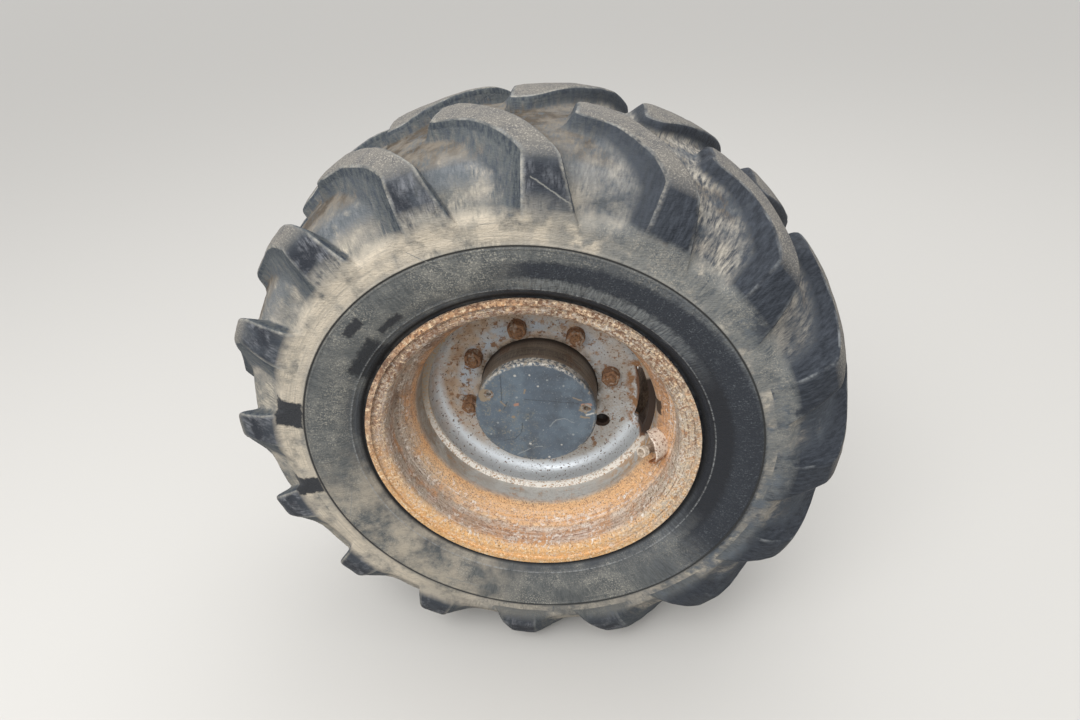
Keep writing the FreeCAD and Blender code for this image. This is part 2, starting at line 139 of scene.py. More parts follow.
# %% Wheel coordinates
def wheel_finish(name):
    """A new material with sockets for where a point lies on the wheel; radius and depth in mm."""
    at = new_finish(name)
    at.point = add(at.tree, "ShaderNodeTexCoord").outputs["Object"]
    at.across = add(at.tree, "ShaderNodeVectorMath", {0: at.point, 1: (1000, 0, 1000)},
                    operation="MULTIPLY").outputs[0]
    at.radius = add(at.tree, "ShaderNodeVectorMath", {0: at.across}, operation="LENGTH").outputs["Value"]
    at.out = add(at.tree, "ShaderNodeVectorMath", {0: at.across}, operation="NORMALIZE").outputs[0]
    along = add(at.tree, "ShaderNodeVectorMath", {0: at.point, 1: (0, 1000, 0)},
                operation="DOT_PRODUCT").outputs["Value"]
    at.depth = add(at.tree, "ShaderNodeMath", {0: along, 1: LIP_Y}, operation="SUBTRACT").outputs[0]
    at.ragged = clouds(at, 8, 0.2, 0.8)
    return at


# %% [markdown]
# ## Masks
# A mask is a socket from 0 to 1 that says where a coat lies. Most are made of noise whose grain is
# given in mm, held to a band of radius or to one side of the wheel. Marks seen in one place get
# their own small mask, with an edge that fades and wanders so that it doesn't look cut out.

# %% Masks
NOISE_ROUGHNESS = 0.62   # share of the finer grains
STREAK_RADIUS = 0.45     # metres: where a streak is as wide as asked
STREAK_DRIFT = 0.3       # how soon a streak changes on its way out
TURNING_DRIFT = 25       # mm that a turning streak wanders over a metre


def rise(at, value, start, end):
    """0 where value is at start or before it, 1 at end."""
    return add(at.tree, "ShaderNodeMapRange", {0: value, 1: start, 2: end}).outputs[0]


def both(at, *masks):
    """Product of masks, so that a coat shows only where all of them allow it."""
    total = masks[0]
    for mask in masks[1:]:
        total = add(at.tree, "ShaderNodeMath", {0: total, 1: mask}, operation="MULTIPLY").outputs[0]
    return total


def between(at, value, low, high, soft):
    """1 where value lies between low and high, fading over soft at both ends."""
    return both(at, rise(at, value, low - soft, low + soft), rise(at, value, high + soft, high - soft))


def clouds(at, grain, low, high, detail=6, stretch=(1, 1, 1), vector=None):
    """Patches about grain mm across; low and high are the noise values where they begin and end."""
    spread = add(at.tree, "ShaderNodeVectorMath",
                 {0: at.point if vector is None else vector, 1: [1000 / grain / s for s in stretch]},
                 operation="MULTIPLY").outputs[0]
    cloud = add(at.tree, "ShaderNodeTexNoise",
                {"Vector": spread, "Scale": 1, "Detail": detail, "Roughness": NOISE_ROUGHNESS})
    return rise(at, cloud.outputs[0], low, high)


def streaks(at, width, low, high):
    """Streaks that run out from the axle, width mm across at the streak radius."""
    drift = add(at.tree, "ShaderNodeVectorMath", {0: at.point, 1: [STREAK_DRIFT] * 3},
                operation="MULTIPLY").outputs[0]
    ray = add(at.tree, "ShaderNodeVectorMath", {0: at.out, 1: [STREAK_RADIUS] * 3, 2: drift},
              operation="MULTIPLY_ADD").outputs[0]
    return clouds(at, width, low, high, 4, vector=ray)


def turning_streaks(at, width, low, high):
    """Streaks that run round the wheel, width mm across."""
    lathe = add(at.tree, "ShaderNodeCombineXYZ", {0: at.radius, 1: at.depth}).outputs[0]
    turned = add(at.tree, "ShaderNodeVectorMath", {0: at.point, 1: [TURNING_DRIFT] * 3, 2: lathe},
                 operation="MULTIPLY_ADD").outputs[0]
    return clouds(at, width * 1000, low, high, 3, vector=turned)


def hairlines(at, grain, width):
    """Thin curved lines, such as scratches, about grain mm apart; width is a share of the grain."""
    spread = add(at.tree, "ShaderNodeVectorMath", {0: at.point, 1: [1000 / grain] * 3},
                 operation="MULTIPLY").outputs[0]
    cloud = add(at.tree, "ShaderNodeTexNoise", {"Vector": spread, "Scale": 1, "Detail": 2, "Distortion": 0.6})
    off = add(at.tree, "ShaderNodeMath", {0: cloud.outputs[0], 1: 0.5}, operation="SUBTRACT").outputs[0]
    off = add(at.tree, "ShaderNodeMath", {0: off}, operation="ABSOLUTE").outputs[0]
    return rise(at, off, width, 0)


def facing(at, angle, low, high):
    """0 to 1 towards an angle in degrees: 0 where the cosine off it is low, 1 where it is high."""
    turn = math.radians(angle)
    reach = add(at.tree, "ShaderNodeVectorMath", {0: at.out, 1: (math.cos(turn), 0, math.sin(turn))},
                operation="DOT_PRODUCT").outputs["Value"]
    return rise(at, reach, low, high)


def mark(at, x, z, lean, length, width, soft, ragged):
    """1 on a mark on the outer side: its middle in mm, its lean from +X in degrees, its length and width.

    Its edge fades over soft and wanders by ragged, both in mm."""
    turn = math.radians(lean)
    sides = []
    along, over = (math.cos(turn), math.sin(turn), length), (-math.sin(turn), math.cos(turn), width)
    for x_part, z_part, size in (along, over):
        reach = add(at.tree, "ShaderNodeVectorMath", {0: at.point, 1: (x_part * 1000, 0, z_part * 1000)},
                    operation="DOT_PRODUCT").outputs["Value"]
        moved = add(at.tree, "ShaderNodeMath", {0: at.ragged, 1: ragged, 2: reach},
                    operation="MULTIPLY_ADD").outputs[0]
        middle = x_part * x + z_part * z + ragged / 2
        sides.append(between(at, moved, middle - size / 2, middle + size / 2, soft))
    return both(at, *sides)


def stain(at, angle, radius, length, height, soft):
    """A mark at an angle in degrees and a radius in mm, length round the wheel by height."""
    turn = math.radians(angle)
    x, z = radius * math.cos(turn), radius * math.sin(turn)
    return mark(at, x, z, angle + 90, length, height, soft, soft * 4)


def spot(at, x, z, radius, soft, ragged):
    """1 on a round spot on the outer side: its middle and radius in mm; its edge wanders by ragged mm."""
    reach = add(at.tree, "ShaderNodeVectorMath", {0: at.across, 1: (x, 0, z)},
                operation="DISTANCE").outputs["Value"]
    moved = add(at.tree, "ShaderNodeMath", {0: at.ragged, 1: ragged, 2: reach},
                operation="MULTIPLY_ADD").outputs[0]
    edge = radius + ragged / 2
    return rise(at, moved, edge + soft, edge - soft)


print("masks ready")

# %% [markdown]
# ## Coats
# A used surface is a stack: the metal or rubber, its paint, then rust, dust and scuffs, each lying
# only where its mask says. The same stack gives colour, roughness and metalness, so that a rust
# patch is rough as well as orange. A value that all coats share goes straight to the shader.

# %% Coats
def coated(at, coats, relief, ior=1.5, **shader):
    """Shader from coats, rows (mask, colour, roughness, metallic), and relief, rows (height, depth in mm).

    A coat whose row ends with its roughness isn't metallic."""
    masks = [coat[0] for coat in coats]
    tints = [coat[1] if isinstance(coat[1], bpy.types.NodeSocket) else linear(coat[1]) for coat in coats]
    tint = tints[0]
    for mask, over in zip(masks[1:], tints[1:]):
        tint = add(at.tree, "ShaderNodeMix", {0: mask, 6: tint, 7: over}, data_type="RGBA").outputs[2]
    inputs = {"Base Color": tint, "IOR": ior}
    levels = {"Roughness": [coat[2] for coat in coats],
              "Metallic": [coat[3] if len(coat) > 3 else 0 for coat in coats]}
    for socket, values in levels.items():
        level = values[0]
        if len(set(values)) > 1:
            for mask, over in zip(masks[1:], values[1:]):
                level = add(at.tree, "ShaderNodeMix", {0: mask, 2: level, 3: over},
                            data_type="FLOAT").outputs[0]
        inputs[socket] = level
    for height, depth in relief:
        bump = {"Height": height, "Distance": depth * MM, "Strength": 1}
        if "Normal" in inputs:
            bump["Normal"] = inputs["Normal"]
        inputs["Normal"] = add(at.tree, "ShaderNodeBump", bump).outputs[0]
    body = add(at.tree, "ShaderNodeBsdfPrincipled", {**inputs, **shader})
    add(at.tree, "ShaderNodeOutputMaterial", {"Surface": body.outputs[0]})
    print(at.name, "nodes:", len(at.tree.nodes))


def dress(names, at):
    """Give CAD nodes their finish."""
    for name in names:
        mesh = nodes[name].data
        mesh.materials.clear()
        mesh.materials.append(at.material)


# %% [markdown]
# ## Tyre: the profile
# The real tyre is one moulding: a rounded carcass with bars of rubber on it. Its section is given
# by two curves, the carcass and the top of a lug, paired station by station from the middle of the
# tread to the sidewall. A point of the grid lies between the two, by how far it is up a lug.

# %% Profile
STATIONS = np.array([
    # carcass from the middle, its radius, lug top from the middle, its radius
    (0, 504, 0, 537), (30, 503.4, 30, 536.4), (60, 502, 60, 535), (88, 499.5, 88, 532),
    (112, 495, 112, 528), (132, 488.5, 134, 523), (148, 480, 152, 517), (160, 470, 168, 509.5),
    (169, 459, 180.5, 499.5),
    (175, 448, 188.5, 484), (182, 436, 195, 466), (189.5, 425.5, 199.5, 450), (197, 417.5, 202, 436),
    (200.6, 409, 203, 421), (201, 398, 202, 402),
])
SIDEWALL = np.array([
    # from the middle, radius: sidewall, bead in the rim, then the cavity
    (201, 398), (201.6, 389), (201.8, 379), (202, 371), (201.4, 358), (199.5, 345), (196.5, 331),
    (192.5, 318), (187.5, 306), (182, 296.5), (176.5, 290), (171.5, 285.5), (168, 280.5),
    (165.6, 275), (164.9, 270),
])
BEAD = [(164.9, 263.6), (163, 259.4), (158.7, 257.7), (127.3, 255.0), (140, 288), (170, 340), (172, 380),
        (138.5, 458), (70, 474), (0, 478)]
RIDGES = [
    # radius of a moulded line round the sidewall, its height, half width
    (379.0, 1.5, 1.3), (372.5, 1.0, 1.0), (303.0, 1.3, 1.1), (296.0, 0.8, 0.9),
]


def smooth_rows(table, steps):
    """Catmull-Rom curve through the rows of a table, at fractional row numbers."""
    steps = np.asarray(steps, float)
    first = np.clip(np.floor(steps).astype(int), 0, len(table) - 2)
    share = (steps - first)[:, None]
    rows = [table[np.clip(first + k, 0, len(table) - 1)] for k in (-1, 0, 1, 2)]
    a, b, c, d = rows
    return 0.5 * (2 * b + (c - a) * share + (2 * a - 5 * b + 4 * c - d) * share ** 2
                  + (3 * b - 3 * c + d - a) * share ** 3)


tip_steps = [0, 0.02, 0.045, 0.075, 0.105, 0.135, 0.17, 0.22, 0.3, 0.43, 0.6, 0.8]
lug_steps = np.concatenate([tip_steps, np.linspace(1.05, 14, 42)])
lug_rows = smooth_rows(STATIONS, lug_steps)
wall_steps = np.concatenate([np.linspace(0.35, 1.5, 4), np.linspace(1.7, 3.3, 14), np.linspace(3.7, 7.9, 9),
                             np.linspace(8.1, 9.4, 11), np.linspace(9.8, 14, 9)])
wall_rows = smooth_rows(SIDEWALL, wall_steps)
for centre, height, half in RIDGES:
    wall_rows[:, 0] += height * np.exp(-((wall_rows[:, 1] - centre) / half) ** 2)
print("rows over the lugs", len(lug_rows), "and below them", len(wall_rows))

# %% [markdown]
# ## Tyre: the lugs in plan
# Each lug is a bent bar, wide at the shoulder and cut off square at the middle. The grid's lines
# follow the lug's two edges, row by row, so that its walls stay crisp with few columns. A wall is
# not a step: it has a fillet at its root, a drafted face, and a top edge that wear has rounded.

# %% Plan
LOW_EDGE = [(4, 140), (104, 36), (178, -22), (214, -26)]
HIGH_EDGE = [(4, 177), (84, 177), (98, 120), (143, 64), (176, 32), (214, 26)]
LUG_PHASE = 17.4         # degrees, as the lugs stand in the photograph
DRAFT = math.tan(math.radians(8))
MIDDLE, REFERENCE = 75.5, 533.5    # of a lug along the tread, and the radius it is drawn at
WALL = [
    # from the lug's edge outwards in mm, share of the lug's height
    (15, 0.0), (10.5, 0.03), (7, 0.10), (4.8, 0.24), (3, 0.44), (1.6, 0.62), (0, 0.78), (-2, 0.89),
    (-5, 0.955), (-9, 0.988), (-13, 1.0),
]
TIP_HEIGHT = [
    # from the tyre's middle, share of the lug's height at its tip
    (0, 0.0), (1, 0.02), (2.2, 0.10), (3.4, 0.26), (4.4, 0.46), (5.4, 0.66), (6.6, 0.8), (9, 0.9), (13, 0.96),
    (18, 1.0),
]
END_HEIGHT = [
    # row of the profile, share of the lug's height: it ends on the sidewall
    (0, 1.0), (12.4, 1.0), (13.2, 0.85), (14, 0.0),
]
BUTTRESS = [
    # from the middle, how far the wall on the lug's trailing side spreads, as a multiple of WALL
    (0, 1.0), (50, 1.2), (90, 2.4), (130, 3.8), (165, 4.6), (205, 3.6),
]
BUTTRESS_FALL = [
    # share of the height on a plain wall, share on the spread one
    (0.0, 0.0), (0.03, 0.06), (0.10, 0.22), (0.24, 0.40), (0.44, 0.56), (0.62, 0.70), (0.78, 0.84),
    (1.0, 1.0),
]
WEAR = {
    # lug number on the outer side: height lost at the tip and at the shoulder in mm, edge chipping in mm
    0: (6, 2, 1.5), 1: (7, 4, 2.0), 2: (10, 5, 2.5), 3: (6, 2, 1.5), 4: (6, 2, 2.0), 5: (20, 4, 5.0),
    6: (19, 6, 5.0), 7: (9, 3, 3.0),
}
USUAL_WEAR = (8, 3, 2.0)
FAR_WEAR = (14, 9, 3.0)
WEAR_PLACES = [0, 60, 150, 185, 200]     # from the tyre's middle
EDGE_WANDER = 2.2        # of a lug's edges, in mm
WANDER_LENGTH = 38
WORN_IN = 2.5            # a worn lug is narrower by this on each edge
CHIPS_ROUND = 26         # to a radian
CHIP_LENGTH = 17         # mm along the lug
CHIP_START = 0.1         # noise above which an edge is chipped
SWELLS = [(0.9, 42), (0.5, 13)]          # height and grain of the slow unevenness, in mm
BEAD_TOP = 290           # inside it the rubber stays exact, to fit the rim
GAP_COLUMNS = 4
TOP_COLUMNS = 5


def table_at(value, table):
    return np.interp(value, [row[0] for row in table], [row[1] for row in table])


def edge_angle(along, radius):
    """Angle from a lug's shoulder of a place along the tread, the bar being straight in plan."""
    return np.arctan2(along - MIDDLE, radius) + MIDDLE / REFERENCE


def lug_columns(row, seed):
    """Angles and heights of one lug's columns and the groove after it, for a row of the profile."""
    away, radius = row[2], row[3]
    grown = (REFERENCE - radius) * DRAFT
    low_wander, high_wander = [
        EDGE_WANDER * noise.noise(Vector((away / WANDER_LENGTH, seed * 3.7, edge))) for edge in (0.5, 9.5)]
    low = table_at(away, LOW_EDGE) - grown + WORN_IN + low_wander
    high = table_at(away, HIGH_EDGE) + grown - WORN_IN + high_wander
    angles, heights = [], []
    for out, share in WALL:
        angles.append(edge_angle(low - out, radius))
        heights.append(share)
    inset = WALL[-1][0]
    for k in range(1, TOP_COLUMNS + 1):
        angles.append(edge_angle(low - inset + (high - low + 2 * inset) * k / (TOP_COLUMNS + 1), radius))
        heights.append(1.0)
    spread = table_at(away, BUTTRESS)
    slope = min(1.0, (spread - 1) / 2)
    for out, share in WALL[::-1]:
        angles.append(edge_angle(high + out * (spread if out > 0 else 1.0), radius))
        heights.append(share * (1 - slope) + table_at(share, BUTTRESS_FALL) * slope)
    following = edge_angle(low - WALL[0][0], radius) + PITCH
    for k in range(1, GAP_COLUMNS + 1):
        angles.append(angles[2 * len(WALL) + TOP_COLUMNS - 1] * (1 - k / (GAP_COLUMNS + 1))
                      + following * k / (GAP_COLUMNS + 1))
        heights.append(0.0)
    return angles, heights


COLUMNS = 2 * len(WALL) + TOP_COLUMNS + GAP_COLUMNS
print("columns to a lug", COLUMNS)

# %% [markdown]
# ## Tyre: the mesh
# Both halves have the same grid: the far half is mirrored and turned by half a pitch, as on every
# chevron tread. At the middle the columns are evenly spaced, so the halves share their vertices
# there and the tyre is one closed skin. Slow noise takes the machined look off the rubber.

# %% Grid of one half
def half_tyre(side):
    """Points and lug heights of one half, rows from the middle of the tread to the cavity's middle."""
    phase = math.radians(LUG_PHASE) + (0 if side < 0 else PITCH / 2)
    points, shares = [], []
    total = len(lug_rows) + len(wall_rows) + len(BEAD)
    for index in range(total):
        row_points, row_shares = [], []
        lug_row = lug_rows[min(index, len(lug_rows) - 1)]
        step = lug_steps[min(index, len(lug_steps) - 1)]
        for k in range(LUGS):
            tip_loss, shoulder_loss, chip = WEAR.get(k, USUAL_WEAR) if side < 0 else FAR_WEAR
            angles, heights = lug_columns(lug_row, k + (0 if side < 0 else 40))
            if index in (0, total - 1):
                start = edge_angle(LOW_EDGE[0][1] - WALL[0][0], REFERENCE)
                angles = [start + PITCH * j / COLUMNS for j in range(COLUMNS)]
            for angle, height in zip(angles, heights):
                turn = angle + phase + k * PITCH
                if index < len(lug_rows):
                    base = lug_row[:2]
                    lift = lug_row[2:] - base
                    size = math.hypot(lift[0], lift[1])
                    kind = height * table_at(lug_row[2], TIP_HEIGHT)
                    share = kind * table_at(step, END_HEIGHT)
                    losses = [tip_loss, tip_loss * 0.45, 1.5, shoulder_loss, 0]
                    loss = np.interp(lug_row[2], WEAR_PLACES, losses)
                    grain = Vector((turn * CHIPS_ROUND, lug_row[2] / CHIP_LENGTH, side * 3.0))
                    rough = chip * max(0.0, noise.noise(grain) - CHIP_START)
                    edge = 4 * share * (1 - share) + 0.35 * share
                    worn = size - (loss + rough * edge * 1.6) * share
                    away, radius = base + lift / size * worn * share
                    if share == 0:
                        away, radius = base
                elif index < len(lug_rows) + len(wall_rows):
                    away, radius = wall_rows[index - len(lug_rows)]
                    kind = 0.0
                else:
                    away, radius = BEAD[index - len(lug_rows) - len(wall_rows)]
                    kind = 0.0
                place = Vector((math.cos(turn) * radius, side * away, math.sin(turn) * radius))
                swell = sum(height * noise.noise(place / grain) for height, grain in SWELLS)
                if radius < BEAD_TOP or away < 0.1:
                    swell = 0.0
                grown = 1 + swell / radius
                row_points.append((place.x * grown * MM, (RIM_Y + place.y * grown) * MM,
                                   place.z * grown * MM))
                row_shares.append(kind)
        points.append(row_points)
        shares.append(row_shares)
    return points, shares


near_points, near_shares = half_tyre(-1)
far_points, far_shares = half_tyre(1)
print("grid", len(near_points), "x", len(near_points[0]))

# %% [markdown]
# ## Tyre: joining the halves
# The two grids meet at the tread's middle and again at the middle of the cavity, where the second
# grid takes over the first one's vertices. The lug height is kept on the vertices as an attribute,
# because the finish needs to know a lug's top from its wall and from the groove.

# %% Build the tyre
def build_tyre():
    count = LUGS * COLUMNS
    rows = len(near_points)
    positions = [p for row in near_points for p in row]
    shares = [s for row in near_shares for s in row]
    near_angle = np.array([math.atan2(p[2], p[0]) for p in near_points[0]])
    far_angle = np.array([math.atan2(p[2], p[0]) for p in far_points[0]])
    gap = np.abs((near_angle[None, :] - far_angle[:, None] + math.pi) % (2 * math.pi) - math.pi)
    partner = gap.argmin(axis=1)
    far_index = []
    for i in range(rows):
        if i in (0, rows - 1):
            far_index.append([i * count + int(partner[j]) for j in range(count)])
            continue
        far_index.append(list(range(len(positions), len(positions) + count)))
        positions.extend(far_points[i])
        shares.extend(far_shares[i])
    faces = []
    for i in range(rows - 1):
        for j in range(count):
            k = (j + 1) % count
            faces.append((i * count + j, i * count + k, (i + 1) * count + k, (i + 1) * count + j))
            faces.append((far_index[i][j], far_index[i + 1][j], far_index[i + 1][k], far_index[i][k]))
    piece = new_object("tyre_worn", positions, faces)
    mesh = piece.data
    mesh.attributes.new("lug_height", "FLOAT", "POINT").data.foreach_set("value", shares)
    mesh.polygons.foreach_set("use_smooth", [True] * len(mesh.polygons))
    mesh.update()
    print("tyre triangles", 2 * len(faces), "worst pairing", round(math.degrees(gap.min(axis=1).max()), 5))
    return piece


tyre = build_tyre()

# %% [markdown]
# ## Tyre: where dust and wear lie
# Mud dries on rubber as beige dust in the grooves and outside the widest ring, while the ground
# scuffs the lug tops to a warm grey with pale edges. Round the bead the rim shelters it and it
# stays black, and hands or straps have wiped a few places. A black line in the gap under the rim's
# lip and a dark line under the moulded ring are painted shade. Each mask here names one such zone.

# %% Zones of the tyre
RING_WANDER = 12         # mm that the edges of dark rings wander
at = wheel_finish("vulcanised_rubber_dusty")
lug = add(at.tree, "ShaderNodeAttribute", attribute_name="lug_height").outputs["Fac"]
fine = clouds(at, 5, 0.3, 0.7)
patchy = clouds(at, 45, 0.38, 0.62)
broad = clouds(at, 130, 0.42, 0.6)
brushed = streaks(at, 5, 0.38, 0.66)
speckle = clouds(at, 2.4, 0.5, 0.68, 3)
block = rise(at, at.radius, 410, 434)
on_wall = both(at, block, between(at, lug, 0.1, 0.93, 0.06))
under_edge = both(at, block, between(at, lug, 0.6, 0.93, 0.05))
on_top = both(at, block, rise(at, lug, 0.955, 0.985))
end_face = both(at, on_top, rise(at, at.radius, 508, 486))
in_groove = rise(at, lug, 0.42, 0.05)
at_edge = both(at, block, between(at, lug, 0.9, 0.972, 0.02))
raised = rise(at, lug, 0.12, 0.4)
end_top = between(at, at.radius, 446, 492, 14)
crown = rise(at, at.radius, 492, 512)
tread = rise(at, at.radius, 478, 496)
outside_ring = rise(at, at.radius, 376, 381)
near_bead = rise(at, at.radius, 322, 296)
wavy = add(at.tree, "ShaderNodeMath", {0: at.ragged, 1: RING_WANDER, 2: at.radius},
           operation="MULTIPLY_ADD").outputs[0]
dark_ring = both(at, between(at, wavy, 328, 400, 5), spot(at, 14, -12, 364, 4, 10),
                 facing(at, 28, 0.32, 0.52))
grey_band = both(at, between(at, at.radius, 378, 428, 8), facing(at, 36, 0.62, 0.92),
                 clouds(at, 30, 0.38, 0.52))
dark_bead = both(at, between(at, wavy, 288, 310, 5), facing(at, 40, 0.35, 0.6))
dark_right = both(at, between(at, wavy, 300, 338, 5), facing(at, 0, 0.78, 0.92))
dusty_arc = both(at, between(at, wavy, 310, 330, 4), facing(at, 66, 0.86, 0.95))
bead_left = stain(at, 143, 303, 80, 40, 4)
bead_shine = between(at, at.radius, 302.2, 304, 0.7)
# Painted shade: a dark line under the moulded ring.
ring_edge_shade = between(at, at.radius, 375.2, 378.4, 0.8)
# Painted shade: a black line on the rubber in the gap under the rim's lip.
bead_gap_shade = between(at, at.radius, 286, 292, 2)
CLEAN = [
    # angle, radius, length, height: where something has wiped the sidewall black
    (167.8, 402, 52, 46), (190.6, 404, 36, 52), (135.6, 352, 40, 16), (128, 318, 46, 12),
]
SCRATCHES = [
    # x, z, lean, length, width: scrapes on the sidewall and shoulder
    (-118, 352, -28, 74, 1.4), (55, 452, -35, 62, 1.6), (-262, 262, 40, 46, 1.2),
    (-330, -120, 76, 58, 1.4), (-150, -318, -20, 66, 1.5), (120, -340, 16, 72, 1.4),
]
scratched = [mark(at, *row, 0.6, 3) for row in SCRATCHES]
haze = clouds(at, 90, 0.4, 0.6)
blotch = clouds(at, 28, 0.46, 0.6)
hair = streaks(at, 4.2, 0.4, 0.68)
lower_left = facing(at, 222, 0.72, 0.97)
left_half = facing(at, 150, -0.35, 0.25)
right_half = both(at, facing(at, 8, 0.15, 0.6), clouds(at, 55, 0.24, 0.4))
shoulder_groove = both(at, between(at, at.radius, 458, 488, 8), in_groove, facing(at, 100, 0.5, 0.85))
far_right = both(at, facing(at, 2, 0.82, 0.95), rise(at, at.radius, 424, 456))
end_foot = both(at, end_face, between(at, at.radius, 404, 444, 10), facing(at, 112, 0.8, 0.95))
worn_line = both(at, between(at, at.radius, 381, 424, 8), left_half, clouds(at, 26, 0.3, 0.56))
scraped = both(at, turning_streaks(at, 2.2, 0.48, 0.68), worn_line)
wrinkles = clouds(at, 7, 0.3, 0.7, 2, (1, 1, 0.35))
print("nodes for the tyre's zones:", len(at.tree.nodes))

# %% [markdown]
# ## Tyre: rubber under dust
# Rubber filled with carbon black is nearly black with a blue cast where it is clean, and it goes
# grey and chalky as it ages. The coats go from that grey to the dust, the lugs' walls and tops,
# and the black places. Rubber is a dielectric with an index near 1.52, and dust dulls its sheen.

# %% Vulcanised rubber
RUBBER_IOR = 1.52
DUSTY_SHEEN = 0.3        # specular level; a clean dielectric has 0.5
coats = [
    (None, "#4e5152", 0.7),
    (brushed, "#646665", 0.75),
    (both(at, blotch, haze), "#757571", 0.82),
    (both(at, haze, speckle), "#a6a297", 0.9),
    (both(at, near_bead, clouds(at, 60, 0.35, 0.55)), "#43464a", 0.65),
    (both(at, lower_left, patchy), "#a59c8d", 0.9),
    (both(at, outside_ring, haze), "#6c6c69", 0.93),
    (both(at, facing(at, 12, 0.3, 0.9), clouds(at, 55, 0.34, 0.5)), "#383c43", 0.7),
    (both(at, facing(at, 5, 0.3, 0.9), hair), "#6a6e71", 0.8),
    (both(at, outside_ring, in_groove, broad), "#a8a196", 0.95),
    (both(at, outside_ring, in_groove, patchy, brushed), "#bcb3a2", 0.97),
    (both(at, shoulder_groove, clouds(at, 30, 0.34, 0.5)), "#5c6165", 0.85),
    (both(at, shoulder_groove, hair), "#74777a", 0.88),
    (both(at, tread, in_groove), "#7b7368", 0.95),
    (both(at, tread, in_groove, clouds(at, 60, 0.44, 0.56)), "#544b41", 0.97),
    (both(at, outside_ring, brushed, blotch), "#5d6265", 0.85),
    (both(at, on_wall, streaks(at, 9, 0.34, 0.56)), "#454b53", 0.75),
    (under_edge, "#333a43", 0.7),
    (both(at, on_wall, hair), "#5b5f5f", 0.85),
    (both(at, on_top, brushed, haze), "#6a6b6d", 0.8),
    (both(at, end_face, clouds(at, 70, 0.26, 0.44)), "#3d4249", 0.75),
    (both(at, end_face, end_top, clouds(at, 34, 0.36, 0.5)), "#23272f", 0.7),
    (both(at, end_face, brushed, blotch), "#73757a", 0.8),
    (both(at, end_foot, clouds(at, 24, 0.34, 0.52)), "#8f8c85", 0.93),
    (both(at, end_foot, brushed), "#a39d92", 0.95),
    (both(at, right_half, outside_ring, clouds(at, 38, 0.47, 0.6)), "#5f656b", 0.85),
    (both(at, right_half, in_groove, outside_ring, patchy, facing(at, 50, 0.78, 0.92)), "#b9b2a5", 0.95),
    (both(at, far_right, clouds(at, 36, 0.28, 0.46)), "#3b4047", 0.8),
    (both(at, far_right, hair), "#545a61", 0.85),
    (both(at, right_half, block, raised), "#21262e", 0.65),
    (both(at, right_half, block, brushed), "#3e434b", 0.75),
    (both(at, on_top, crown), "#716e69", 0.9),
    (both(at, on_top, crown, blotch), "#5f5e5d", 0.85),
    (both(at, on_top, crown, speckle), "#a29c92", 0.95),
    (worn_line, "#c4b9a7", 0.95),
    (scraped, "#a0998d", 0.9),
    (both(at, at_edge, patchy, blotch), "#7d8082", 0.85),
    (both(at, at_edge, patchy, fine, left_half), "#aaa59a", 0.9),
    (grey_band, "#6d7070", 0.85),
    (both(at, grey_band, blotch), "#53585c", 0.85),
    (both(at, grey_band, brushed), "#7f7f7b", 0.88),
    (both(at, grey_band, patchy, speckle), "#aaa498", 0.9),
    (dark_ring, "#292d34", 0.6),
    (both(at, dark_ring, hair, speckle), "#656a6e", 0.8),
    (dark_bead, "#1d2026", 0.5),
    (dark_right, "#1d2026", 0.5),
    (both(at, dusty_arc, brushed), "#7d8080", 0.8),
    (bead_left, "#25282c", 0.5),
    (both(at, bead_shine, brushed), "#8e9090", 0.6),
    (ring_edge_shade, "#2f3030", 0.8),
    (bead_gap_shade, "#1d1e20", 0.7),
]
coats += [(stain(at, *row, 2), "#2a2c30", 0.55) for row in CLEAN]
coats += [(mask, "#83827d", 0.85) for mask in scratched]
relief = [(patchy, 0.6), (wrinkles, 0.5), (fine, 0.35), (speckle, 0.15), (scraped, 0.1)]
coated(at, coats, relief, RUBBER_IOR, **{"Specular IOR Level": DUSTY_SHEEN})
tyre.data.materials.append(at.material)
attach(tyre, "wheel")
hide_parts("tyre")

# %% [markdown]
# ## Rim: paint that rust has lifted
# The rim is rolled steel plate, once painted pale. Salt and wet have crept under the paint, so
# what shows is rust in several ages: orange powder on the slope, brown scale at the flange, and
# pink-white flakes of the paint that is left. The bands follow the depth from the lip, and only
# the well, which stays drier, is still grey and smooth.

# %% Rusted rim
at = wheel_finish("rolled_steel_rusted_paint")
BAND_DEPTH = 200         # mm from the lip to the end of the ramp
BAND_WANDER = 14         # mm that a band's edge wanders
WINDOW_RUST_AND_SHADE = (212, 24, 94, 32, 18)      # x, z, lean, length, width: inside the valve's window
warp = clouds(at, 22, 0, 1)
level = add(at.tree, "ShaderNodeMath", {0: warp, 1: BAND_WANDER, 2: at.depth},
            operation="MULTIPLY_ADD").outputs[0]
bands = add(at.tree, "ShaderNodeValToRGB", {0: rise(at, level, 0, BAND_DEPTH)})
BANDS = [
    # place on the ramp, 0 at the lip and 1 at BAND_DEPTH, and the rust or paint there
    (0.0, "#cba67f"), (0.05, "#c0966f"), (0.075, "#8e6a52"), (0.11, "#ab8770"), (0.15, "#cfb8a4"),
    (0.19, "#a68573"), (0.24, "#c4a58d"), (0.29, "#e6d9ca"), (0.33, "#dfbd96"), (0.375, "#cf9c6c"),
    (0.44, "#c69467"), (0.49, "#c2aa92"), (0.53, "#b1a293"), (0.6, "#b3b1ad"), (1.0, "#b0b0ad"),
]
while len(bands.color_ramp.elements) < len(BANDS):
    bands.color_ramp.elements.new(1)
for element, (position, code) in zip(bands.color_ramp.elements, BANDS):
    element.position = position
    element.color = linear(code)
in_well = rise(at, level, 96, 110)
flakes = clouds(at, 7, 0.53, 0.6)
flake_zone = between(at, level, 12, 84, 8)
pits = clouds(at, 2.6, 0.56, 0.68, 4)
scale_rust = clouds(at, 9, 0.5, 0.66)
powder = clouds(at, 34, 0.44, 0.6)
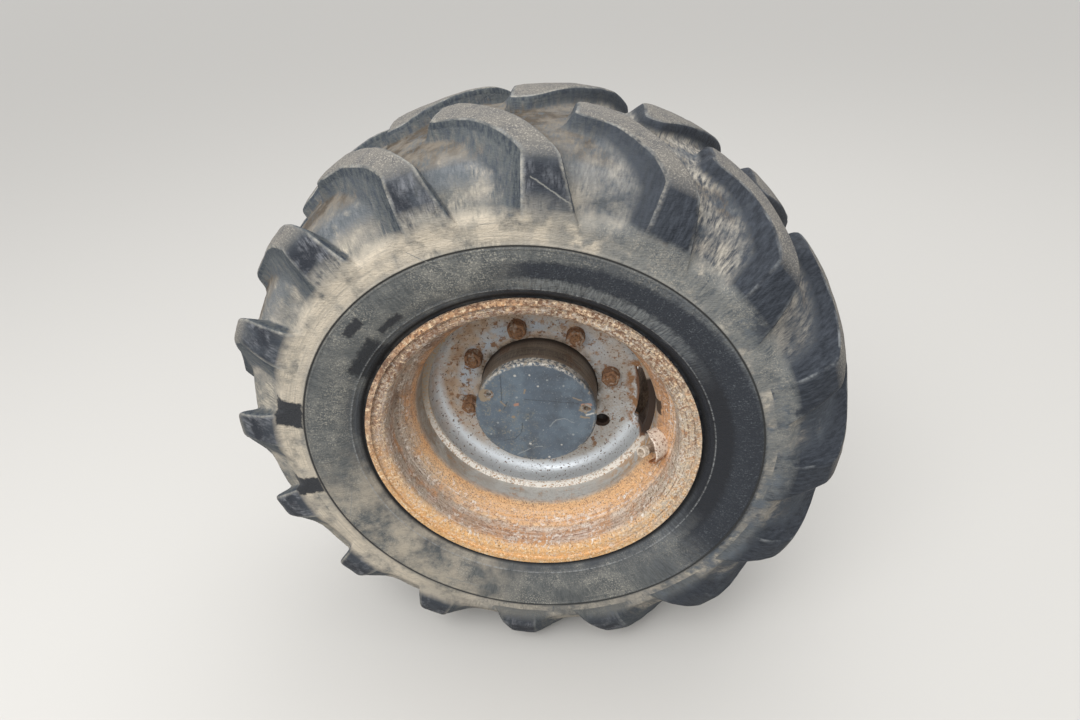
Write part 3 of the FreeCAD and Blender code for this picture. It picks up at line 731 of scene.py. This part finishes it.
grit = clouds(at, 2.2, 0.4, 0.62, 3)
dirt_and_shade = clouds(at, 70, 0.5, 0.64)
swept = turning_streaks(at, 3.4, 0.46, 0.64)
broad_swept = turning_streaks(at, 9, 0.44, 0.6)
left_side = both(at, facing(at, 165, 0, 0.7), clouds(at, 30, 0.38, 0.56))
right_side = facing(at, 15, 0.15, 0.7)
low_side = facing(at, 268, -0.1, 0.6)
lip = rise(at, level, 26, 14)
upper = facing(at, 95, -0.1, 0.6)
slope = between(at, level, 74, 100, 6)
outer_right = both(at, right_side, between(at, level, 2, 60, 8))
patchy = clouds(at, 24, 0.4, 0.58)
# Inside the valve's window the steel is painted dark brown: rust, and painted shade that widens the window's
# dark.
window_rust_and_shade = mark(at, *WINDOW_RUST_AND_SHADE, 1.2, 5)
coats = [
    (None, bands.outputs[0], 0.85),
    # Coats masked by upper paint the top of the rim darker than its bottom: painted shade, laid over real
    # flakes, dirt and rust.
    (both(at, upper, flake_zone, patchy), "#a58d7c", 0.88),
    (both(at, swept, flake_zone), "#e2d3c6", 0.8),
    (both(at, broad_swept, powder), "#c58f60", 0.92),
    (both(at, turning_streaks(at, 2, 0.55, 0.66), patchy), "#7b5640", 0.92),
    (scale_rust, "#a3806a", 0.92),
    (both(at, powder, grit), "#cf9c6e", 0.95),
    (both(at, left_side, flake_zone), "#ae9f8f", 0.9),
    (both(at, left_side, flake_zone, clouds(at, 5, 0.5, 0.6)), "#6c5345", 0.9),
    (both(at, left_side, swept, flake_zone), "#c9bcae", 0.8),
    # Painted light: the bottom of the lip and of the slope, which face the sky, are painted a brighter orange
    # than the rust above them.
    (both(at, low_side, lip), "#dbac76", 0.9),
    (both(at, low_side, slope, grit), "#e6bd8c", 0.92),
    (both(at, upper, dirt_and_shade), "#755d4e", 0.9),
    (both(at, outer_right, clouds(at, 14, 0.38, 0.56)), "#c5b6a2", 0.8),
    (both(at, outer_right, turning_streaks(at, 4, 0.5, 0.6)), "#8a715d", 0.9),
    (both(at, outer_right, clouds(at, 4, 0.54, 0.62)), "#e2d8c9", 0.8),
    (both(at, outer_right, clouds(at, 5, 0.57, 0.63)), "#5c4737", 0.9),
    (both(at, flakes, flake_zone, patchy), "#eae0d6", 0.7),
    (both(at, lip, clouds(at, 5, 0.52, 0.62)), "#ecd3b0", 0.85),
    (both(at, lip, upper, clouds(at, 6, 0.5, 0.58)), "#81614b", 0.9),
    (pits, "#6a4c38", 0.95),
    (in_well, "#b3b2ae", 0.42),
    # Painted shade: the well is painted darker at the top and at the left.
    (both(at, in_well, upper), "#978c80", 0.55),
    (both(at, in_well, left_side), "#988a7b", 0.55),
    (both(at, in_well, scale_rust, powder), "#a88669", 0.85),
    (both(at, in_well, right_side, clouds(at, 18, 0.42, 0.56)), "#b7946f", 0.85),
    (both(at, in_well, swept, dirt_and_shade), "#8e8578", 0.7),
    (window_rust_and_shade, "#463629", 0.9),
    # The inner part of the barrel, behind the disc, is painted dark brown: grease and dirt, and painted
    # shade.
    (rise(at, at.depth, 150, 165), "#5a4636", 0.9),
]
coated(at, coats, [(flakes, 0.5), (scale_rust, 0.5), (pits, 0.35), (swept, 0.25)])
dress(["rim_barrel"], at)

# %% [markdown]
# ## Disc: grey enamel
# The disc is pressed plate, sprayed with a silver-grey enamel that holds metal flake, so it is half
# metallic where it is whole, with a soft gloss. A pale arc on the lower bend by the rim is a painted
# highlight. Road dust leaves a brown film, rust starts as specks where stones have chipped the
# enamel, and it runs from the open edges, at the valve window and at the flange. The dark mark along
# the window's edge is rust and painted shade; the window's cut face and the spot round the empty stud
# hole are painted shade.

# %% Enamelled disc
at = wheel_finish("sprayed_grey_enamel")
# Rust along the window's left edge; the mark also reaches over a lit corner of the edge as painted shade.
WINDOW_EDGE_RUST_AND_SHADE = (189, -14, 94, 132, 12)    # x, z, lean, length, width: rust along the window
# Painted shade: a dark spot round the hole where a stud is missing, so that the hole looks wider and deeper.
EMPTY_HOLE_SHADE = (117.5, -76, 15)            # x, z, radius: where a stud is missing
film = clouds(at, 60, 0.42, 0.66)
specks = clouds(at, 4.5, 0.6, 0.66, 3)
crumbs = clouds(at, 12, 0.57, 0.64)
face = rise(at, at.radius, 192, 176)
flange_edge = rise(at, at.depth, 141, 137)
window = stain(at, 0, 185, 150, 46, 5)
stud_band = between(at, at.radius, 122, 153, 6)
nose_ring = rise(at, at.radius, 122, 111)
upper = facing(at, 125, -0.35, 0.45)
low_side = facing(at, 265, 0, 0.55)
empty_hole_painted_shade = spot(at, *EMPTY_HOLE_SHADE, 0.8, 3)
# Painted shade: the cut face at the window's edge, which the dome lights, is painted dark brown.
window_wall_painted_shade = both(at, facing(at, -3, 0.95, 0.958), rise(at, at.radius, 194, 198))
# Painted highlight: a pale, partly metallic arc on the lower bend by the flange, in place of the sky's
# reflection there.
bend_painted_highlight = both(at, between(at, at.radius, 184, 196, 6), facing(at, 262, -0.35, 0.3))
coats = [
    (None, "#c3c7c9", 0.36, 0.45),
    (both(at, face, clouds(at, 3, 0.42, 0.66, 3)), "#b5aea4", 0.55, 0.1),
    (both(at, face, film), "#aea59a", 0.6, 0.1),
    (both(at, face, upper, clouds(at, 26, 0.4, 0.6)), "#c6b19b", 0.8),
    (both(at, upper, between(at, at.radius, 158, 202, 8), clouds(at, 22, 0.38, 0.58)),
     "#b0957c", 0.85),
    (both(at, upper, between(at, at.radius, 160, 196, 8), crumbs), "#a8713f", 0.9),
    (both(at, upper, stud_band, clouds(at, 30, 0.42, 0.54)), "#b9c1c9", 0.5, 0.15),
    (both(at, stud_band, clouds(at, 14, 0.54, 0.66)), "#a38367", 0.85),
    (both(at, nose_ring, clouds(at, 20, 0.4, 0.6)), "#5f5347", 0.7),
    (both(at, face, crumbs), "#93735a", 0.9),
    (bend_painted_highlight, "#dbe1e6", 0.4, 0.3),
    (specks, "#5c4636", 0.9),
    (both(at, window, clouds(at, 16, 0.42, 0.56)), "#96704f", 0.92),
    (empty_hole_painted_shade, "#33241a", 0.9),
    (flange_edge, "#a3988a", 0.7),
    (both(at, flange_edge, low_side, clouds(at, 6, 0.36, 0.46)), "#f0ebe2", 0.7),
    (both(at, flange_edge, clouds(at, 4, 0.54, 0.6)), "#b38f6b", 0.9),
    (mark(at, *WINDOW_EDGE_RUST_AND_SHADE, 1.5, 6), "#6d4f3b", 0.92),
    (window_wall_painted_shade, "#3a2d25", 0.92),
]
coated(at, coats, [(film, 0.15), (crumbs, 0.25), (specks, 0.2)])
dress(["wheel_disc"], at)

# %% [markdown]
# ## Hub and cover
# The hub is an iron casting that the planetary gears turn in. Oil seeps round it and holds dirt,
# so its nose is nearly black with scratches from tools, and its rim is chipped to pale primer. The
# cover is a machined plate painted blue-grey, flat enough to collect fine straight scratches.

# %% Hub and cover
at = wheel_finish("cast_iron_oily_paint")
oil = clouds(at, 30, 0.4, 0.65)
scratch = clouds(at, 7, 0.56, 0.64, 3, (0.25, 3, 0.25))
chips = both(at, between(at, at.depth, 93, 105, 2), facing(at, 92, 0.55, 0.95),
             clouds(at, 6, 0.52, 0.57))
grain = clouds(at, 2.2, 0.35, 0.65, 3)
coats = [
    (None, "#4a443e", 0.38),
    (oil, "#6b6156", 0.5),
    (turning_streaks(at, 7, 0.46, 0.62), "#7a6e61", 0.45),
    (scratch, "#877d70", 0.6),
    (rise(at, at.depth, 158, 172), "#38302a", 0.7),
    (chips, "#b9b2a6", 0.8),
    (both(at, grain, clouds(at, 40, 0.55, 0.7)), "#6b452b", 0.9),
]
coated(at, coats, [(grain, 0.25), (scratch, 0.12)])
dress(["hub"], at)

at = wheel_finish("machined_cover_blue_grey_paint")
haze = clouds(at, 45, 0.4, 0.65)
fine_scratch = both(at, hairlines(at, 22, 0.005), clouds(at, 24, 0.52, 0.62))
worn = both(at, facing(at, 200, -0.1, 0.6), clouds(at, 16, 0.46, 0.58))
rim_wear = rise(at, at.radius, 103, 107.5)
upper = facing(at, 92, 0.45, 0.9)
DEEP, BARE, CHIP, ORANGE, TAN = "#3b4249", "#8f9394", "#bbb9b3", "#a07a68", "#897b68"
SCORES = [
    # x, z, lean, length, width, colour: scratches on the cover's face
    (-58, 55, 88, 58, 1.5, DEEP), (-53, 18, 65, 20, 1.5, DEEP), (30, 28.5, -5, 97, 1.2, DEEP),
    (-27, -31, 83, 24, 1.6, DEEP), (-36, -51, 45, 18, 1.6, DEEP), (-52, -59.5, 10, 22, 1.3, DEEP),
    (-27, -87.5, 30, 30, 1.5, BARE), (2, -75, 3, 14, 1.5, BARE), (30, -20, 52, 20, 1.3, BARE),
    (43.5, -11, 10, 18, 1.3, BARE), (60, -14.5, -29, 20, 1, BARE), (-33.5, 20.7, 18, 9, 5, ORANGE),
    (75, 34, -25, 17, 2.4, TAN),
    (90.9, 21, 6, 19, 6, ORANGE), (97, 1, 12, 14, 3.6, CHIP), (88, -6, -10, 18, 3.6, TAN),
    (-57.7, 23.2, -52, 14, 2.4, TAN), (-16.8, 49.9, 80, 11, 3, TAN),
]
SPOTS = [
    # x, z, radius, colour: chips and rust on the cover's face
    (-13.4, -68.4, 2.4, CHIP), (7.3, 61, 1.8, CHIP), (-31.7, 36.7, 2, BARE), (-31.5, 83.4, 2.2, CHIP),
    (-6.1, 84.7, 2, CHIP), (20, -100.1, 2.2, CHIP), (-84.9, -46.4, 1.8, BARE),
    (-40.3, -6.6, 3.4, TAN), (-88, 42, 13, TAN), (88, 12, 9, TAN), (-64, 8, 2.2, TAN),
    (-70, -20, 1.8, BARE), (-48, -38, 1.6, BARE), (24, 74, 1.5, BARE), (52, 62, 1.6, BARE),
    (-18, -14, 1.5, BARE), (66, -46, 1.8, BARE), (12, -36, 1.3, BARE), (44, -70, 1.6, CHIP),
]
coats = [
    (None, "#55616d", 0.4),
    (haze, "#474f58", 0.48),
    (clouds(at, 30, 0.46, 0.66), "#606d78", 0.45),
    (both(at, worn, clouds(at, 3.5, 0.5, 0.62, 3)), "#77776f", 0.65),
    (clouds(at, 2.8, 0.6, 0.7, 3), "#83898c", 0.6),
    (fine_scratch, "#8d9294", 0.5),
    (both(at, rim_wear, upper, clouds(at, 6, 0.46, 0.54)), "#cfcabf", 0.75),
    (both(at, rim_wear, clouds(at, 9, 0.54, 0.6)), "#9a9284", 0.75),
]
coats += [(mark(at, *row[:5], 0.9, 3.5), row[5], 0.7, 0) for row in SCORES]
coats += [(spot(at, *row[:3], 0.8, row[2]), row[3], 0.7, 0) for row in SPOTS]
coated(at, coats, [(haze, 0.1), (fine_scratch, 0.06)])
dress(["planet_cover"], at)

# %% [markdown]
# ## Fasteners and valve
# Forged nuts and studs stand in the weather with little paint, so they have a full coat of brown
# rust with brighter orange where it is fresh. The valve is plated brass and steel under the same
# pale dust as the rim. One function makes them all, since only the colours and the share of paint
# left differ.

# %% Small steel parts
def rusted_steel(name, ground, fresh, dark, pale, cover):
    """Rusty steel: ground rust, fresh and dark patches, and pale paint or dust over a share of it."""
    at = wheel_finish(name)
    patches = clouds(at, 8, 0.42, 0.62)
    pits = clouds(at, 2.5, 0.5, 0.66, 3)
    left = clouds(at, 10, 0.72 - cover, 0.78 - cover)
    coats = [(None, ground, 0.9), (patches, fresh, 0.92), (pits, dark, 0.95), (left, pale, 0.7)]
    coated(at, coats, [(patches, 0.4), (pits, 0.3), (left, 0.3)])
    return at


SMALL_STEEL = [
    # material, how its nodes' names start, ground, fresh rust, dark rust, paint that is left, its share
    ("forged_nut_rusted", "wheel_nut_", "#80604a", "#9c7454", "#503827", "#a59484", 0.16),
    ("forged_stud_rusted", "wheel_stud_", "#7c5c45", "#97704f", "#4a3324", "#a59484", 0.18),
    ("plated_valve_dusty", "valve_stem", "#8f7d6c", "#a58d76", "#5a4636", "#b9a592", 0.28),
    ("plated_screw_worn", "cover_screw_", "#6d6156", "#84684c", "#3c3028", "#8f8a84", 0.25),
]
for name, stem, ground, fresh, dark, pale, cover in SMALL_STEEL:
    members = sorted(n for n in nodes if n.startswith(stem))
    dress(members, rusted_steel(name, ground, fresh, dark, pale, cover))
    print(name, "on", len(members), "nodes")

# %% [markdown]
# ## Valve end
# The cap is gone from the real valve and its tube stands open, with a ragged pale rim and a dark
# bore. A tube is a lathe shape: one profile, given as steps along its axis and radii, and turned.
# The rim's slope leans 45 degrees, so the valve's own three directions come from that angle.

# %% Valve end
VALVE_ANGLE = math.radians(-15.3)
SLOPE = math.radians(45)
FOOT_RADIUS, FOOT_Y = 222.5, -270.1       # where the valve leaves the rim
away = Vector((math.cos(VALVE_ANGLE), 0, math.sin(VALVE_ANGLE)))
outboard = Vector((0, -1, 0))
stand = outboard * math.sin(SLOPE) - away * math.cos(SLOPE)
up_slope = away * math.sin(SLOPE) + outboard * math.cos(SLOPE)
around = Vector((-math.sin(VALVE_ANGLE), 0, math.cos(VALVE_ANGLE)))
foot = away * FOOT_RADIUS + Vector((0, FOOT_Y, 0))


def new_piece(name, points, faces, at, node):
    """Mesh piece on the wheel in place of a CAD node; points in mm."""
    piece = new_object(name, [tuple(c * MM for c in p) for p in points], faces)
    piece.data.materials.append(at.material)
    piece.data.update()
    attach(piece, "wheel")
    if node:
        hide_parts(node)
    print(name, "faces:", len(faces))
    return piece


def band_faces(rows, sides, closed=False):
    """Quads between rings of points; closed joins the last ring to the first."""
    faces = []
    for row in range(rows if closed else rows - 1):
        low, high = row * sides, (row + 1) % rows * sides
        for k in range(sides):
            after = (k + 1) % sides
            faces.append((low + k, low + after, high + after, high + k))
    return faces


def end_caps(rows, sides):
    """Faces over the first and the last ring of points."""
    return [tuple(range(sides))[::-1], tuple(range((rows - 1) * sides, rows * sides))]


VALVE_TUBE = [
    # along the valve from its foot, radius: outside with its thread, then the bore
    (27.5, 8.5), (29.5, 9.6), (31, 9.6), (31.8, 8.9), (33, 8.9), (33.8, 9.6), (35.2, 9.6), (36, 8.9),
    (37.2, 8.9), (38, 9.7), (41, 9.9), (41.8, 9.2), (41.4, 7), (32, 6.4), (32, 0.6),
]
TUBE_SIDES = 40
RAGGED_FROM = 40         # mm up the valve; only its end is chipped
points = []
for along, radius in VALVE_TUBE:
    for k in range(TUBE_SIDES):
        turn = 2 * math.pi * k / TUBE_SIDES
        spoke = up_slope * math.cos(turn) + around * math.sin(turn)
        chipped = 0.8 * noise.noise(spoke * 2.5) if along > RAGGED_FROM else 0
        points.append(foot + stand * (along + chipped) + spoke * (radius + chipped * 0.4))
faces = band_faces(len(VALVE_TUBE), TUBE_SIDES) + end_caps(len(VALVE_TUBE), TUBE_SIDES)
at = rusted_steel("plated_tube_chipped", "#b3a18e", "#c6b29c", "#5a4636", "#ddd0c0", 0.3)
new_piece("valve_end_open", points, faces, at, "valve_cap")

# %% [markdown]
# ## Guard strip
# The guard is a flat strip that something has knocked: it stands higher at its upper end, and the
# end is folded in over the valve. It is swept along a smooth curve on the rim's slope, given by a
# few places, with a thin section that has a rounded free edge.

# %% Guard strip
STRIP = np.array([
    # up the slope from the valve, around the wheel, height of the free edge
    (-17, 27, 20), (-10, 32, 27), (1, 33, 33), (12, 28, 35), (20, 18, 34), (24.5, 5, 31), (23.5, -8, 27),
    (17, -19, 23), (8, -25, 20),
])
SECTION = [
    # across in half thicknesses, share of the height, and mm added to it
    (-1, 0, -4), (-1, 0.5, 0), (-1, 1, -1.2), (-0.55, 1, -0.2), (0.55, 1, -0.2), (1, 1, -1.2), (1, 0.5, 0),
    (1, 0, -4),
]
STRIP_HALF = 1.7         # of its thickness, in mm
STRIP_STEPS = 64
STRIP_LEAN = 0.05        # mm up the slope for each mm of height
RIPPLE_STEPS = 9         # length of a ripple
DENT_HEIGHT = 34         # mm: where a dent is as deep as its ripple
steps = smooth_rows(STRIP, np.linspace(0, len(STRIP) - 1, STRIP_STEPS))
points = []
for k, (up, side, height) in enumerate(steps):
    ahead_step = steps[min(k + 1, len(steps) - 1)] - steps[max(k - 1, 0)]
    length = math.hypot(ahead_step[0], ahead_step[1])
    over = Vector((ahead_step[1] / length, -ahead_step[0] / length))
    ripple = noise.noise(Vector((k / RIPPLE_STEPS, 4, 1)))
    for across, part, more in SECTION:
        stands = height * part + more
        off = across * STRIP_HALF + ripple * stands / DENT_HEIGHT
        points.append(foot + stand * (stands + ripple) + around * (side + over.y * off)
                      + up_slope * (up + over.x * off + STRIP_LEAN * stands))
faces = band_faces(STRIP_STEPS, len(SECTION)) + end_caps(STRIP_STEPS, len(SECTION))
at = wheel_finish("bent_strip_pale_paint")
chips = clouds(at, 6, 0.52, 0.62)
low_end = rise(at, add(at.tree, "ShaderNodeSeparateXYZ", {0: at.point}).outputs["Z"], -0.052, -0.066)
grit = clouds(at, 2.5, 0.4, 0.64)
coats = [
    (None, "#f4e8da", 0.75),
    (grit, "#dccbba", 0.8),
    (chips, "#a07d66", 0.9),
    (both(at, low_end, clouds(at, 10, 0.36, 0.5)), "#a16a3f", 0.92),
]
coated(at, coats, [(grit, 0.3), (chips, 0.3)])
new_piece("valve_guard_bent", points, faces, at, "valve_guard")

# %% [markdown]
# ## Mud inside the wheel
# Mud packs into the hollow behind the disc, under the inner bead seat, and dries there, since
# nothing washes it out. It is what shows through the valve window. A ring of uneven thickness lies
# on the rim's inner side: its outer rows follow the steel, and noise lifts the inner ones.

# %% Packed mud
MUD = [
    # along the axle, radius, how far noise moves it: over the mud, then back along the steel
    (-132, 215.5, 0), (-124, 212, 1.5), (-108, 208, 2.5), (-90, 205, 3), (-70, 202.5, 3.5),
    (-50, 201, 3.5), (-34, 201, 3.5), (-20, 201, 2.5), (-8, 203.5, 1.5), (-4, 238, 1.5),
    (-5, 249.5, 0), (-40, 248, 0), (-52, 246, 0), (-84, 216.5, 0),
]
MUD_SIDES = 180
points = []
for along, radius, loose in MUD:
    for k in range(MUD_SIDES):
        turn = 2 * math.pi * k / MUD_SIDES
        place = Vector((math.cos(turn) * radius, along, math.sin(turn) * radius))
        lump = loose * (noise.noise(place / 34) + 0.5 * noise.noise(place / 11))
        points.append(Vector((math.cos(turn) * (radius + lump), along, math.sin(turn) * (radius + lump))))
at = wheel_finish("dried_clay_mud")
lumps = clouds(at, 16, 0.4, 0.62)
crumb = clouds(at, 4, 0.4, 0.62)
coats = [(None, "#6a523f", 0.95), (lumps, "#826a54", 0.97), (both(at, crumb, lumps), "#a08a74", 0.98)]
coated(at, coats, [(lumps, 1.5), (crumb, 0.6)])
mud = new_piece("mud_packed", points, band_faces(len(MUD), MUD_SIDES, closed=True), at, None)
mud.data.polygons.foreach_set("use_smooth", [True] * len(mud.data.polygons))

# %% [markdown]
# ## Seal and stub axle
# Behind the wheel the seal is moulded nitrile, black with an oily sheen, and the stub axle is
# machined iron. Both are hidden from the front, and get a plain used finish: turning marks on the
# machined faces, and rust and old grease over them.

# %% Back side
at = wheel_finish("moulded_nitrile_oily")
dust = clouds(at, 15, 0.48, 0.66)
coated(at, [(None, "#202224", 0.42), (dust, "#4a443c", 0.8)], [(dust, 0.1)], RUBBER_IOR)
dress(["hub_seal"], at)

at = wheel_finish("machined_iron_greasy")
lathe = add(at.tree, "ShaderNodeCombineXYZ", {0: at.radius, 1: at.depth}).outputs[0]
marks = add(at.tree, "ShaderNodeTexNoise", {"Vector": lathe, "Scale": 1.1, "Detail": 2}).outputs[0]
grease = clouds(at, 35, 0.42, 0.6)
light_rust = clouds(at, 9, 0.52, 0.64)
coats = [(None, "#8b8780", 0.42, 0.85), (light_rust, "#7a5236", 0.85), (grease, "#3a342d", 0.5)]
coated(at, coats, [(marks, 0.08), (light_rust, 0.12)])
dress(["stub_axle"], at)

# %% [markdown]
# ## Floor, light and background
# The studio is a pale floor, two wide soft lamps and an even dome of light. The dome gives most of
# the light, so that a colour looks as it is written, and the lamps give the wheel its form. The
# pale tone behind it is only what the camera sees, so floor and wall meet without a line.

# %% Stage
def direct_view(tree):
    """1 on rays that show the surface itself: from the camera, by gloss or through glass."""
    rays = add(tree, "ShaderNodeLightPath").outputs
    seen = rays["Is Camera Ray"]
    for kind in ("Is Glossy Ray", "Is Transmission Ray"):
        seen = add(tree, "ShaderNodeMath", {0: seen, 1: rays[kind]}, operation="MAXIMUM").outputs[0]
    return seen


FLOOR_REACH = 60         # metres, so that its edge is out of sight
corners = [(x * FLOOR_REACH, y * FLOOR_REACH, FLOOR_Z * MM) for x, y in ((-1, -1), (1, -1), (1, 1), (-1, 1))]
floor = new_object("floor", corners, [(0, 1, 2, 3)])
at = new_finish("pale_studio_floor")
coated(at, [(None, "#8f8d89", 0.9), (direct_view(at.tree), "#c9c7c3", 0.9)], [])
floor.data.materials.append(at.material)

world = bpy.data.worlds.new("studio")
bpy.context.scene.world = world
world.use_nodes = True
tree = world.node_tree
tree.nodes.clear()
camera_ray = add(tree, "ShaderNodeLightPath").outputs["Is Camera Ray"]
tone = add(tree, "ShaderNodeMix", {0: camera_ray, 6: linear("#ffffff"), 7: linear("#c8c6c2")},
           data_type="RGBA").outputs[2]
height = add(tree, "ShaderNodeTexCoord").outputs["Generated"]
height = add(tree, "ShaderNodeSeparateXYZ", {0: height}).outputs["Z"]
sky = add(tree, "ShaderNodeMapRange", {0: height, 1: -0.1, 2: 0.9, 3: 0.8, 4: 0.98}).outputs[0]
strength = add(tree, "ShaderNodeMix", {0: direct_view(tree), 2: sky, 3: 1}, data_type="FLOAT").outputs[0]
dome = add(tree, "ShaderNodeBackground", {"Color": tone, "Strength": strength})
add(tree, "ShaderNodeOutputWorld", {"Surface": dome.outputs[0]})

LAMPS = [
    # name, watts, size in metres, place, aimed at
    ("key", 95, 2.4, (-1, -2.5, 2.6), (0, -0.2, 0)),
    ("top", 30, 3, (0.8, 1.2, 3.4), (0, -0.1, 0)),
]
for name, watts, size, place, target in LAMPS:
    lamp_data = bpy.data.lights.new(name, "AREA")
    lamp_data.energy = watts
    lamp_data.size = size
    lamp = bpy.data.objects.new(name, lamp_data)
    lamp.location = place
    lamp.rotation_euler = (Vector(target) - Vector(place)).to_track_quat("-Z", "Y").to_euler()
    bpy.context.scene.collection.objects.link(lamp)
bpy.context.scene.view_settings.view_transform = "Standard"
print("lamps:", len(LAMPS))
